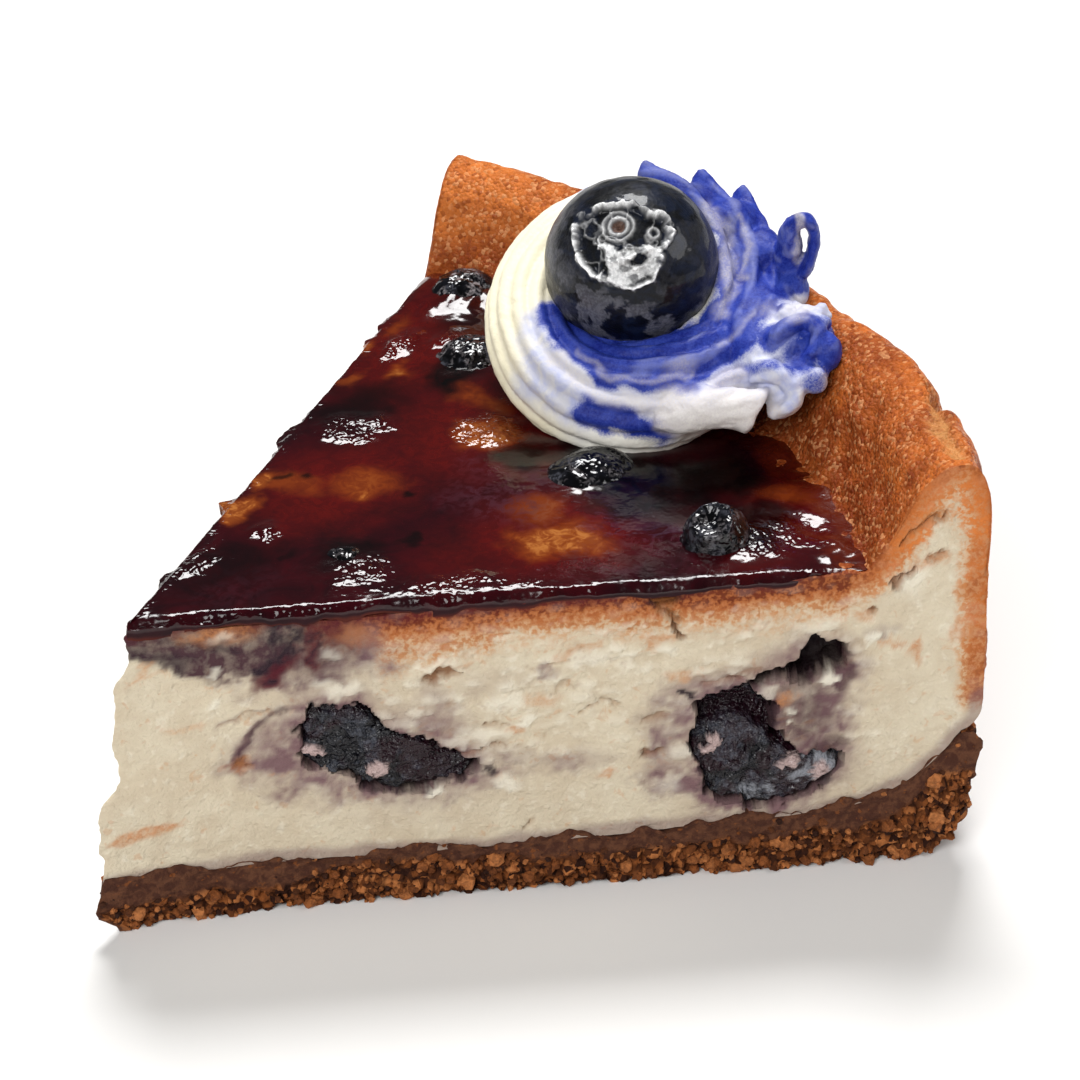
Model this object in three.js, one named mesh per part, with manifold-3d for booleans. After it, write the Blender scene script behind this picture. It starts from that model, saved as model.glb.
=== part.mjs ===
// One slice of baked blueberry cheesecake, standing on its crumb base.
// Millimetres, +Z up. The point of the slice is at -X, the outer wall at +X, and the XZ plane halves it.
// The origin is on the surface that the slice stands on, under the middle of its bounding box.
import * as THREE from "three";
import { mergeVertices } from "three/addons/utils/BufferGeometryUtils.js";
import Module from "manifold-3d";

const wasm = await Module();
wasm.setup();

// ---- Driving dimensions ----
const cake = {
  radius: 90, // of the 180 mm tin that it was baked in
  wedgeAngle: 61, // a sixth of the cake, cut by hand
  latheSegments: 96, // round the whole cake
};
const crust = {
  height: 7.2, // of the pressed crumb under the filling
  footRadius: 84, // the rounded lower corner starts here
  lipHeight: 16.6, // how far the crumb climbs the wall
  bendRadius: 74, // where its upper face starts to climb
};
const filling = {
  seatHeight: 36.8, // the sunken top that the glaze lies on
  seatRadius: 76.8,
  rimHeight: 49.4, // the browned rim that stood against the tin
  rimRadius: 86.2,
};
const glaze = {
  topHeight: 38.4,
  edgeHeight: 38.9, // it creeps up the rim a little
};
const rosette = {
  centre: new THREE.Vector3(69.8, 4.4, 46.0), // from the point of the slice
  tiltAxis: new THREE.Vector3(0.35, -0.94, 0), // the outer side is lifted onto the rim
  tiltDegrees: 13,
  ringRadius: 10.6, // to the middle of the piped bead
  beadRadius: 5.9,
  ribCount: 12, // round the bead, as the star tip leaves them
  ribDepth: 0.75,
  ribDrift: 2, // ribs that each one moves over in one turn
  ringSteps: 44,
  beadSteps: 36,
};
// The end of the piping lies over the rim, round the near and outer sides of the ring, and then come the
// points that its ribs pulled out to. Each is a line of places measured from the slice's point.
const looseBeads = [
  {
    points: [
      [60, -9, 42.5],
      [68, -13, 44],
      [76.5, -13, 48],
      [82, -8.6, 51.3],
      [83.8, -1, 53.4],
      [82, 8, 54],
      [76.5, 15.6, 52],
    ],
    width: 4.2,
    fullest: 0.45,
  },
  {
    points: [
      [70, -11, 43],
      [77, -14.5, 47],
      [82, -15.6, 50.6],
      [83.4, -14, 52],
    ],
    width: 3.1,
    fullest: 0.4,
  },
  {
    points: [
      [80, -5, 50],
      [83.6, -6, 53.5],
      [84.4, -5.2, 57],
      [83.6, -4, 59.2],
    ],
    width: 2.6,
    fullest: 0.4,
  },
  {
    points: [
      [80, 3, 51],
      [83.2, 5, 54.5],
      [83.4, 7, 57],
      [82.4, 8.4, 58.6],
    ],
    width: 2.6,
    fullest: 0.4,
  },
  {
    points: [
      [76, 11, 50],
      [79.6, 14, 54],
      [80, 15.4, 56.2],
      [79, 16, 57.6],
    ],
    width: 2.5,
    fullest: 0.4,
  },
];
const garnish = {
  centre: new THREE.Vector3(70.5, 6, 53.4),
  radius: 9.6,
  squash: 0.94, // height over width
  crownRadius: 4.6,
  crownLift: 0.7,
  crownDirection: new THREE.Vector3(-0.5, -0.6, 0.62),
};
// Whole berries sunk in the glaze: distance from the slice's point, angle off its middle, height, half sizes.
const glazeBerries = [
  { name: "glaze_blueberry_1", r: 62.5, angle: -23.5, z: 37.6, half: [5.0, 4.6, 3.8] },
  { name: "glaze_blueberry_2", r: 24.5, angle: -8.5, z: 37.4, half: [3.2, 2.8, 2.8] },
  { name: "glaze_blueberry_3", r: 63.5, angle: 19.5, z: 37.4, half: [5.0, 4.6, 3.8] },
  { name: "glaze_blueberry_4", r: 55.5, angle: -6.5, z: 37.6, half: [6.2, 5.0, 4.0] },
  { name: "glaze_blueberry_5", r: 75.2, angle: 26.0, z: 39.0, half: [5.2, 4.6, 4.6] },
];
// Berries baked into the filling and cut through by the knife: side -1 is the near face, 1 the far face.
const bakedBerries = [
  { name: "baked_blueberry_1", side: -1, r: 26.0, z: 19.4, half: [9.2, 4.6, 4.4], turn: -14 },
  { name: "baked_blueberry_2", side: -1, r: 66.4, z: 15.4, half: [7.0, 5.2, 6.0], turn: 0 },
  { name: "baked_blueberry_3", side: 1, r: 36.5, z: 23.5, half: [6.6, 4.4, 5.0], turn: 12 },
  { name: "baked_blueberry_4", side: 1, r: 63.0, z: 17.0, half: [5.4, 4.2, 4.6], turn: -20 },
];
const seam = 0.2; // left between layers that were poured or pressed together
const seatClearance = 0.3; // left round a piece that sits in a cut seat
const berrySegments = [14, 9];

// ---- Solids ----
const solidOf = (geometry) => {
  const bare = geometry.clone();
  for (const name of Object.keys(bare.attributes)) {
    if (name !== "position") bare.deleteAttribute(name);
  }
  const merged = mergeVertices(bare, 1e-4);
  const corners = merged.index.array;
  const faces = [];
  for (let i = 0; i < corners.length; i += 3) {
    const [a, b, c] = corners.subarray(i, i + 3);
    if (a !== b && b !== c && c !== a) faces.push(a, b, c);
  }
  return new wasm.Manifold(
    new wasm.Mesh({
      numProp: 3,
      vertProperties: merged.attributes.position.array,
      triVerts: new Uint32Array(faces),
    }),
  );
};

const geometryOf = (solid) => {
  const mesh = solid.getMesh();
  const geometry = new THREE.BufferGeometry();
  geometry.setAttribute("position", new THREE.BufferAttribute(mesh.vertProperties, 3));
  geometry.setIndex(new THREE.BufferAttribute(mesh.triVerts, 1));
  const faceted = geometry.toNonIndexed();
  faceted.computeVertexNormals();
  return faceted;
};

const material = (color, roughness) =>
  new THREE.MeshStandardMaterial({ color, roughness, metalness: 0 });

const materials = {
  crust: material("#7a4826", 0.9),
  filling: material("#d8c8a6", 0.7),
  glaze: material("#43101b", 0.15),
  cream: material("#eceaf0", 0.45),
  berry: material("#23252f", 0.35),
};

const slice = new THREE.Group();
slice.position.x = -cake.radius / 2;

const addPiece = (name, geometry, finish) => {
  const mesh = new THREE.Mesh(geometry, finish);
  mesh.name = name;
  slice.add(mesh);
  return mesh;
};

// ---- Layers, each turned round the cake's axis and then cut to the wedge ----
const turned = (profile) => {
  const geometry = new THREE.LatheGeometry(profile.getPoints(6), cake.latheSegments);
  geometry.rotateX(Math.PI / 2); // the lathe's axis becomes +Z
  return solidOf(geometry);
};

const wedgePrism = () => {
  const half = THREE.MathUtils.degToRad(cake.wedgeAngle / 2);
  const reach = 2 * cake.radius;
  const outline = new THREE.Shape([
    new THREE.Vector2(0, 0),
    new THREE.Vector2(reach * Math.cos(half), -reach * Math.sin(half)),
    new THREE.Vector2(reach * Math.cos(half), reach * Math.sin(half)),
  ]);
  const prism = new THREE.ExtrudeGeometry(outline, { depth: 2 * cake.radius, bevelEnabled: false });
  prism.translate(0, 0, -10);
  return solidOf(prism);
};
const wedge = wedgePrism();

const crustProfile = () => {
  const p = new THREE.Path();
  p.moveTo(0, 0);
  p.lineTo(crust.footRadius, 0);
  p.quadraticCurveTo(cake.radius, 1.5, cake.radius, 9);
  p.lineTo(cake.radius, 14.6);
  p.quadraticCurveTo(89.6, crust.lipHeight, 88, crust.lipHeight);
  p.quadraticCurveTo(83, 9, crust.bendRadius, crust.height + 0.8);
  p.lineTo(40, crust.height);
  p.lineTo(0, crust.height);
  return p;
};

const fillingProfile = () => {
  const p = new THREE.Path();
  p.moveTo(0, crust.height + seam);
  p.lineTo(40, crust.height + seam);
  p.lineTo(crust.bendRadius, crust.height + 0.8 + seam);
  p.quadraticCurveTo(83 - seam, 9 + seam, 88 - seam, crust.lipHeight + seam);
  p.quadraticCurveTo(cake.radius, 17.2 + seam, cake.radius, 21);
  p.lineTo(cake.radius - 0.3, 36);
  p.quadraticCurveTo(cake.radius - 0.4, filling.rimHeight, filling.rimRadius, filling.rimHeight);
  p.quadraticCurveTo(82.6, filling.rimHeight, 80.4, 44.6);
  p.quadraticCurveTo(78.4, 39.6, filling.seatRadius, filling.seatHeight);
  p.lineTo(0, filling.seatHeight);
  return p;
};

const glazeProfile = () => {
  const p = new THREE.Path();
  const edge = filling.seatRadius - 0.25;
  p.moveTo(0, filling.seatHeight + seam);
  p.lineTo(edge, filling.seatHeight + seam);
  p.lineTo(edge + 0.75, glaze.edgeHeight);
  p.quadraticCurveTo(edge - 0.6, glaze.topHeight, edge - 2.4, glaze.topHeight);
  p.lineTo(0, glaze.topHeight);
  return p;
};

// The outside of the layers with a little clearance, which the cream is shaped against.
const envelopeProfile = () => {
  const c = seatClearance;
  const p = new THREE.Path();
  p.moveTo(0, 0);
  p.lineTo(cake.radius + c, 0);
  p.lineTo(cake.radius + c, 36);
  p.quadraticCurveTo(
    cake.radius - 0.4 + c,
    filling.rimHeight + c,
    filling.rimRadius,
    filling.rimHeight + c,
  );
  p.quadraticCurveTo(82.6 - c, filling.rimHeight + c, 80.4 - c, 44.6 + c);
  p.quadraticCurveTo(78.4 - c, 39.6 + c, filling.seatRadius - c, glaze.edgeHeight + c);
  p.lineTo(filling.seatRadius - 3, glaze.topHeight + c);
  p.lineTo(0, glaze.topHeight + c);
  return p;
};

// ---- Berries ----
const onFace = (r, angleDegrees) => {
  const angle = THREE.MathUtils.degToRad(angleDegrees);
  return new THREE.Vector2(r * Math.cos(angle), r * Math.sin(angle));
};

const ellipsoid = (place, half, grow = 0) => {
  const ball = new THREE.SphereGeometry(1, ...berrySegments);
  ball.rotateX(Math.PI / 2); // poles up and down
  ball.scale(half[0] + grow, half[1] + grow, half[2] + grow);
  ball.applyMatrix4(place);
  return solidOf(ball);
};

const glazeBerryPlace = (berry) => {
  const at = onFace(berry.r, berry.angle);
  return new THREE.Matrix4().makeTranslation(at.x, at.y, berry.z);
};

const bakedBerryPlace = (berry) => {
  const faceAngle = (berry.side * cake.wedgeAngle) / 2;
  const at = onFace(berry.r, faceAngle);
  const turn = new THREE.Matrix4().makeRotationY(THREE.MathUtils.degToRad(-berry.turn));
  const along = new THREE.Matrix4().makeRotationZ(THREE.MathUtils.degToRad(faceAngle));
  return new THREE.Matrix4().makeTranslation(at.x, at.y, berry.z).multiply(along).multiply(turn);
};

// A ripe berry: a flattened ball with the calyx's raised ring round a shallow dish, its axis along +Y.
const crownedBerry = () => {
  const { radius, squash, crownRadius, crownLift } = garnish;
  const shoulder = Math.asin(crownRadius / radius);
  const profile = [];
  const steps = 14;
  for (let i = 0; i <= steps; i++) {
    const angle = THREE.MathUtils.lerp(Math.PI, shoulder, i / steps);
    const r = i === 0 ? 0 : radius * Math.sin(angle);
    profile.push(new THREE.Vector2(r, radius * squash * Math.cos(angle)));
  }
  const crownHeight = radius * squash * Math.cos(shoulder);
  profile.push(new THREE.Vector2(crownRadius + 0.2, crownHeight + crownLift));
  profile.push(new THREE.Vector2(crownRadius - 0.4, crownHeight + crownLift));
  profile.push(new THREE.Vector2(crownRadius - 0.9, crownHeight - 0.5));
  profile.push(new THREE.Vector2(0, crownHeight - 0.9));
  return new THREE.LatheGeometry(profile, 28);
};

const crownTurn = new THREE.Quaternion().setFromUnitVectors(
  new THREE.Vector3(0, 1, 0),
  garnish.crownDirection.clone().normalize(),
);

// ---- The piped cream ----
const rosetteFrame = () => {
  const axis = rosette.tiltAxis.clone().normalize();
  const turn = new THREE.Quaternion().setFromAxisAngle(
    axis,
    THREE.MathUtils.degToRad(rosette.tiltDegrees),
  );
  return new THREE.Matrix4().compose(rosette.centre, turn, new THREE.Vector3(1, 1, 1));
};

// A ring of cream whose ribs wind slowly round the bead, closed on itself.
const ribbedRing = () => {
  const { ringRadius, beadRadius, ribCount, ribDepth, ribDrift, ringSteps, beadSteps } = rosette;
  const positions = [];
  const faces = [];
  for (let i = 0; i < ringSteps; i++) {
    const around = (2 * Math.PI * i) / ringSteps;
    for (let j = 0; j < beadSteps; j++) {
      const section = (2 * Math.PI * j) / beadSteps;
      const rib = Math.abs(Math.cos((ribCount * section + ribDrift * around) / 2));
      const r = beadRadius + ribDepth * (rib - 0.6);
      const out = ringRadius + r * Math.cos(section);
      positions.push(out * Math.cos(around), out * Math.sin(around), r * Math.sin(section));
      const a = i * beadSteps + j;
      const b = i * beadSteps + ((j + 1) % beadSteps);
      const c = ((i + 1) % ringSteps) * beadSteps + j;
      const d = ((i + 1) % ringSteps) * beadSteps + ((j + 1) % beadSteps);
      faces.push(a, c, b, b, c, d);
    }
  }
  const geometry = new THREE.BufferGeometry();
  geometry.setAttribute("position", new THREE.Float32BufferAttribute(positions, 3));
  geometry.setIndex(faces);
  return geometry;
};

// A bead of cream along a curve, pointed at both ends and thickest at the given share of its length.
const piped = ({ points, width, fullest }) => {
  const sides = 10;
  const steps = 3 * points.length;
  const curve = new THREE.CatmullRomCurve3(points.map((p) => new THREE.Vector3(...p)));
  const frames = curve.computeFrenetFrames(steps, false);
  const start = curve.getPointAt(0);
  const end = curve.getPointAt(1);
  const positions = [...start.toArray()];
  const faces = [];
  for (let i = 1; i < steps; i++) {
    const t = i / steps;
    const swell = t < fullest ? t / fullest : (1 - t) / (1 - fullest);
    const radius = width * Math.sin((Math.PI / 2) * swell) ** 0.6;
    const centre = curve.getPointAt(t);
    for (let j = 0; j < sides; j++) {
      const angle = (2 * Math.PI * j) / sides;
      const point = centre
        .clone()
        .addScaledVector(frames.normals[i], radius * Math.cos(angle))
        .addScaledVector(frames.binormals[i], radius * Math.sin(angle));
      positions.push(...point.toArray());
    }
  }
  positions.push(...end.toArray());
  const ring = (i, j) => 1 + (i - 1) * sides + (j % sides);
  const last = 1 + (steps - 1) * sides;
  for (let j = 0; j < sides; j++) {
    faces.push(0, ring(1, j + 1), ring(1, j));
    faces.push(last, ring(steps - 1, j), ring(steps - 1, j + 1));
    for (let i = 1; i < steps - 1; i++) {
      faces.push(ring(i, j), ring(i, j + 1), ring(i + 1, j));
      faces.push(ring(i + 1, j), ring(i, j + 1), ring(i + 1, j + 1));
    }
  }
  const geometry = new THREE.BufferGeometry();
  geometry.setAttribute("position", new THREE.Float32BufferAttribute(positions, 3));
  geometry.setIndex(faces);
  return geometry;
};

const rosetteSolid = (cutters) => {
  const frame = rosetteFrame();
  const heart = new THREE.SphereGeometry(1, 16, 9);
  heart.rotateX(Math.PI / 2);
  heart.scale(rosette.ringRadius + 1, rosette.ringRadius + 1, 4.4);
  heart.translate(0, 0, -2.4);
  let solid = solidOf(ribbedRing().applyMatrix4(frame)).add(solidOf(heart.applyMatrix4(frame)));
  for (const bead of looseBeads) solid = solid.add(solidOf(piped(bead)));
  for (const cutter of cutters) solid = solid.subtract(cutter);
  const lumps = solid.decompose().sort((a, b) => b.volume() - a.volume());
  return lumps[0]; // slivers left beside the cuts fall away
};

// ---- Assembly ----
const seatOf = (berries, place) =>
  berries.map((berry) => ellipsoid(place(berry), berry.half, seatClearance));
const glazeSeats = seatOf(glazeBerries, glazeBerryPlace);
const bakedSeats = seatOf(bakedBerries, bakedBerryPlace);

let fillingSolid = turned(fillingProfile()).intersect(wedge);
for (const seat of [...glazeSeats, ...bakedSeats]) fillingSolid = fillingSolid.subtract(seat);

let glazeSolid = turned(glazeProfile()).intersect(wedge);
for (const seat of glazeSeats) glazeSolid = glazeSolid.subtract(seat);

addPiece("crumb_crust", geometryOf(turned(crustProfile()).intersect(wedge)), materials.crust);
addPiece("cheese_filling", geometryOf(fillingSolid), materials.filling);
addPiece("blueberry_glaze", geometryOf(glazeSolid), materials.glaze);

for (const berry of glazeBerries) {
  const solid = ellipsoid(glazeBerryPlace(berry), berry.half);
  addPiece(berry.name, geometryOf(solid), materials.berry);
}
for (const berry of bakedBerries) {
  const solid = ellipsoid(bakedBerryPlace(berry), berry.half).intersect(wedge);
  addPiece(berry.name, geometryOf(solid), materials.berry);
}

const berrySeat = new THREE.SphereGeometry(garnish.radius + seatClearance + 0.2, 28, 18);
berrySeat.translate(...garnish.centre.toArray());
const creamCutters = [turned(envelopeProfile()), ...glazeSeats, solidOf(berrySeat)];
addPiece("cream_rosette", geometryOf(rosetteSolid(creamCutters)), materials.cream);

const topBerry = addPiece("garnish_blueberry", crownedBerry(), materials.berry);
topBerry.position.copy(garnish.centre);
topBerry.quaternion.copy(crownTurn);

export default slice;
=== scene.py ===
# A slice of baked blueberry cheesecake: crumb base, curd filling, fruit glaze, piped cream and berries.
import math

import bpy
import numpy as np
from mathutils import Matrix, Vector


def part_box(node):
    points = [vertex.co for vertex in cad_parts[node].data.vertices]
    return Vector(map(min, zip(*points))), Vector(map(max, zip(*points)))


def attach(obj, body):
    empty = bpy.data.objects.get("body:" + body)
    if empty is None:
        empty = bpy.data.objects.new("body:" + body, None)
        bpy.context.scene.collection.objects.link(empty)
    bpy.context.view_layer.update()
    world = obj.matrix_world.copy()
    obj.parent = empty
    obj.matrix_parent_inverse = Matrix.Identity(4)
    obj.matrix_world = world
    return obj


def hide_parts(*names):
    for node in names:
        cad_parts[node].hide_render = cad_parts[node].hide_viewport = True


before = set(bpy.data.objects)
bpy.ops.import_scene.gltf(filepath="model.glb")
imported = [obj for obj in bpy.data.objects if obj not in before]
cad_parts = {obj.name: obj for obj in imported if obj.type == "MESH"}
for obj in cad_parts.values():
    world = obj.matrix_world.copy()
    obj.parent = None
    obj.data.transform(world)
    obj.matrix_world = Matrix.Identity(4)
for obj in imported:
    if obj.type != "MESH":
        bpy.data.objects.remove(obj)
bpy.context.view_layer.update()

mm = 0.001

# Everything below is worked out in millimetres from the point of the slice, with Z up from the table.
crustLow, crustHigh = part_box("crumb_crust")
fillingLow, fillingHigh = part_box("cheese_filling")
glazeLow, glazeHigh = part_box("blueberry_glaze")
pointOfSlice = np.array([crustLow.x / mm, 0.0, 0.0])
cakeRadius = (crustHigh.x - crustLow.x) / mm
halfAngle = math.asin(crustHigh.y / mm / cakeRadius)
crustTop = fillingLow.z / mm - 0.2
rimHeight = fillingHigh.z / mm
seatHeight = glazeLow.z / mm - 0.2
glazeTop = glazeHigh.z / mm - 0.5
seatRight = seatHeight + 0.6  # the filling stands a little higher towards the rim
nearNormal = np.array([-math.sin(halfAngle), -math.cos(halfAngle), 0.0])
farNormal = np.array([-math.sin(halfAngle), math.cos(halfAngle), 0.0])
upWay = np.array([0, 0, 1.0])


def boxOf(node):
    low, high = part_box(node)
    low = np.array(low) / mm - pointOfSlice
    high = np.array(high) / mm - pointOfSlice
    return (low + high) / 2, (high - low) / 2


# Noise and marks, for shapes and for where colours go.

def latticeValue(cell, seed):
    x, y, z = (cell[:, k].astype(np.int64) & 0xFFFFFFFF for k in range(3))
    h = (x * 73856093) ^ (y * 19349663) ^ (z * 83492791) ^ (seed * 2654435761 + 974711)
    h &= 0xFFFFFFFF
    h = ((h ^ (h >> 15)) * 2246822519) & 0xFFFFFFFF
    h = ((h ^ (h >> 13)) * 3266489917) & 0xFFFFFFFF
    return (h ^ (h >> 16)) / 4294967296.0


def smoothNoise(points, size, seed):
    p = points / size + 512.37
    base = np.floor(p)
    f = p - base
    f = f * f * f * (f * (f * 6 - 15) + 10)
    total = np.zeros(len(p))
    for dx in (0, 1):
        for dy in (0, 1):
            for dz in (0, 1):
                corner = base + (dx, dy, dz)
                weight = np.abs(1 - dx - f[:, 0]) * np.abs(1 - dy - f[:, 1]) * np.abs(1 - dz - f[:, 2])
                total += weight * latticeValue(corner, seed)
    return total * 2 - 1


turnBetweenOctaves = np.array(Matrix.Rotation(0.9, 3, Vector((0.6, 0.5, 0.62))))


def fractal(points, size, octaves, seed, gain=0.5):
    total = np.zeros(len(points))
    strength = 1.0
    p = points
    for octave in range(octaves):
        total += strength * smoothNoise(p, size / 2 ** octave, seed + octave * 17)
        p = p @ turnBetweenOctaves.T
        strength *= gain
    return total


def bending(points, size, octaves, seed, gain=0.5):
    # Two noises side by side, to push a plane's places about.
    return np.stack([fractal(points, size, octaves, seed + k, gain) for k in (0, 1)], 1)


def cellNoise(points, size, seed):
    # Distance to the nearest and second nearest of scattered points, and a value for the nearest.
    p = points / size + 512.37
    base = np.floor(p)
    nearest = np.full(len(p), 9.0)
    second = np.full(len(p), 9.0)
    label = np.zeros(len(p))
    for dx in (-1, 0, 1):
        for dy in (-1, 0, 1):
            for dz in (-1, 0, 1):
                cell = base + (dx, dy, dz)
                jitter = np.stack([latticeValue(cell, seed + k) for k in range(3)], 1)
                distance = np.linalg.norm(p - cell - jitter, axis=1)
                closer = distance < nearest
                second = np.where(closer, nearest, np.minimum(second, distance))
                label = np.where(closer, latticeValue(cell, seed + 3), label)
                nearest = np.where(closer, distance, nearest)
    return nearest, second, label


def ease(x, low, high):
    t = np.clip((x - low) / (high - low), 0, 1)
    return t * t * (3 - 2 * t)


def spot(plane, at, size, turn, soft, warp=0.0):
    # A soft-edged patch on a plane: 1 inside, 0 outside.
    d = plane - np.array(at) + warp
    a = math.radians(turn)
    along = d[:, 0] * math.cos(a) + d[:, 1] * math.sin(a)
    across = -d[:, 0] * math.sin(a) + d[:, 1] * math.cos(a)
    distance = np.hypot(along / size[0], across / size[1])
    return ease(distance, 1 + soft, 1 - soft)


def lineDistance(plane, corners, closed=False):
    corners = np.array(corners, float)
    ends = np.roll(corners, -1, axis=0) if closed else corners[1:]
    distance = np.full(len(plane), 1e9)
    for a, b in zip(corners, ends):
        along = b - a
        t = np.clip((plane - a) @ along / (along @ along), 0, 1)
        distance = np.minimum(distance, np.linalg.norm(plane - a - t[:, None] * along, axis=1))
    return distance


def insideDepth(plane, corners):
    # Distance to an outline, positive inside it.
    corners = np.array(corners, float)
    inside = np.zeros(len(plane), bool)
    for a, b in zip(corners, np.roll(corners, -1, axis=0)):
        crosses = (a[1] > plane[:, 1]) != (b[1] > plane[:, 1])
        if a[1] != b[1]:
            at = a[0] + (plane[:, 1] - a[1]) / (b[1] - a[1]) * (b[0] - a[0])
            inside ^= crosses & (plane[:, 0] < at)
    distance = lineDistance(plane, corners, closed=True)
    return np.where(inside, distance, -distance)


# A mark is a soft oval, a drawn stroke or an area within corners. How ragged its edge is may be left out.
def oval(x, y, wide, high, strength=1, soft=0.4, turn=0, ragged=None):
    return {"at": (x, y), "size": (wide, high), "turn": turn, "strength": strength, "soft": soft,
            "ragged": ragged}


def stroke(line, width, strength=1, soft=0.4, ragged=None):
    return {"line": line, "width": width, "strength": strength, "soft": soft, "ragged": ragged}


def area(corners, strength, soft, ragged=None):
    return {"corners": corners, "strength": strength, "soft": soft, "ragged": ragged}


def markMask(plane, mark, warp, ragged=0.6):
    soft = mark["soft"]
    bend = warp * (ragged if mark["ragged"] is None else mark["ragged"])
    if "line" in mark:
        distance = lineDistance(plane + bend, mark["line"])
        mask = ease(distance, mark["width"] * (1 + soft), mark["width"] * (1 - soft))
    elif "corners" in mark:
        mask = ease(insideDepth(plane + bend, mark["corners"]), -soft, soft)
    else:
        mask = spot(plane, mark["at"], mark["size"], mark["turn"], soft, bend)
    return mask * mark["strength"]


def patches(plane, marks, warp, ragged=0.6):
    total = np.zeros(len(plane))
    for mark in marks:
        total = np.maximum(total, markMask(plane, mark, warp, ragged))
    return total


# Meshes.

def vertexNormals(points, quads):
    a, b, c, d = (points[quads[:, k]] for k in range(4))
    faceNormal = np.cross(c - a, d - b)
    normals = np.zeros_like(points)
    for k in range(4):
        for axis in range(3):
            normals[:, axis] += np.bincount(quads[:, k], faceNormal[:, axis], len(points))
    return normals / np.maximum(np.linalg.norm(normals, axis=1, keepdims=True), 1e-9)


def addMesh(name, points, faces, masks=None, crease=None):
    mesh = bpy.data.meshes.new(name)
    mesh.from_pydata(((points + pointOfSlice) * mm).tolist(), [], faces)
    for maskName, values in (masks or {}).items():
        attribute = mesh.attributes.new(maskName, "FLOAT", "POINT")
        attribute.data.foreach_set("value", np.clip(values, 0, 1).astype(np.float32))
    mesh.polygons.foreach_set("use_smooth", [True] * len(mesh.polygons))
    if crease:
        mesh.set_sharp_from_angle(angle=math.radians(crease))
    mesh.update()
    piece = bpy.data.objects.new(name, mesh)
    bpy.context.scene.collection.objects.link(piece)
    return piece


def finishPiece(piece, material, nodes):
    piece.data.materials.clear()
    piece.data.materials.append(material)
    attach(piece, "root")
    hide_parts(*nodes)
    return piece


def outline(start, *moves):
    # A line of straight and curved moves through (radius, height) places.
    points = [np.array(start, float)]
    for move in moves:
        a = points[-1]
        if len(move) == 2:
            steps = max(2, int(np.linalg.norm(np.array(move) - a) / 0.2))
            points += [a + (np.array(move) - a) * t for t in np.linspace(0, 1, steps + 1)[1:]]
        else:
            b, c = np.array(move[:2]), np.array(move[2:])
            t = np.linspace(0, 1, 41)[1:, None]
            points += list((1 - t) ** 2 * a + 2 * t * (1 - t) * b + t * t * c)
    return np.array(points)


def resample(line, count):
    length = np.concatenate([[0], np.cumsum(np.linalg.norm(np.diff(line, axis=0), axis=1))])
    even = np.linspace(0, length[-1], count)
    return np.stack([np.interp(even, length, line[:, k]) for k in range(2)], 1)


def wedgeSolid(counts, low, high, keepFine):
    # A solid between two outlines of the section, turned from the near cut to the far one.
    # keepFine(radius, height) says where the turned surface shows and needs its small faces.
    rows, turns = counts["rows"], counts["turns"]
    lower, upper = (np.concatenate([resample(flat, counts["columnsFlat"]),
                                    resample(end, counts["columnsEnd"] + 1)[1:]]) for flat,
                                    end in (low, high))
    columns = len(lower)
    t = np.linspace(0, 1, rows)[None, :, None]
    section = lower[:, None, :] * (1 - t) + upper[:, None, :] * t
    points, faces = [], []

    def place(radiusHeight, angle):
        radius, height = radiusHeight
        points.append((radius * math.cos(angle), radius * math.sin(angle), height))
        return len(points) - 1

    near = np.zeros((columns, rows), int)
    far = np.zeros((columns, rows), int)
    for i in range(columns):
        for j in range(rows):
            near[i, j] = place(section[i, j], -halfAngle)
            far[i, j] = near[i, j] if i == 0 else place(section[i, j], halfAngle)
    side = np.zeros(len(points), int)
    side[near.ravel()] = -1
    side[far.ravel()] = 1
    side[near[0]] = 0
    for grid, flip in ((near, False), (far, True)):
        a, b, c, d = grid[:-1, :-1], grid[1:, :-1], grid[1:, 1:], grid[:-1, 1:]
        quad = (a, d, c, b) if flip else (a, b, c, d)
        faces += np.stack([q.ravel() for q in quad], 1).tolist()

    loop = [(i, 0) for i in range(columns)]
    loop += [(columns - 1, j) for j in range(1, rows)]
    loop += [(i, rows - 1) for i in range(columns - 2, -1, -1)]
    angles = np.linspace(-halfAngle, halfAngle, turns + 1)
    rings = []
    for i, j in loop:
        if i == 0:
            rings.append([near[i, j]])
        elif keepFine(*section[i, j]):
            between = [place(section[i, j], angle) for angle in angles[1:-1]]
            rings.append([near[i, j], *between, far[i, j]])
        else:
            rings.append([near[i, j], far[i, j]])
    for one, two in zip(rings[:-1], rings[1:]):
        if len(one) == len(two) and len(one) > 1:
            faces += [[one[a], one[a + 1], two[a + 1], two[a]] for a in range(len(one) - 1)]
        else:
            faces.append([*one, *reversed(two)])
    side = np.concatenate([side, np.zeros(len(points) - len(side), int)])
    return np.array(points), [[int(v) for v in face] for face in faces], side


def ballFaces(spokes, rings):
    # Faces of a ball: a first pole, rings of places and a last pole.
    faces = []
    bottom = 1 + (rings - 1) * spokes
    for k in range(spokes):
        n = (k + 1) % spokes
        faces.append([0, 1 + k, 1 + n])
        for ring in range(rings - 1):
            a, b = 1 + ring * spokes, 1 + (ring + 1) * spokes
            faces.append([a + k, b + k, b + n, a + n])
        faces.append([bottom + spokes, bottom + n, bottom + k])
    return faces


def ballPoints(spokes, rings):
    points = [(0, 0, 1.0)]
    for p in np.linspace(0, math.pi, rings + 2)[1:-1]:
        for a in np.linspace(0, 2 * math.pi, spokes, endpoint=False):
            points.append((math.sin(p) * math.cos(a), math.sin(p) * math.sin(a), math.cos(p)))
    return np.array([*points, (0, 0, -1.0)])


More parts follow.
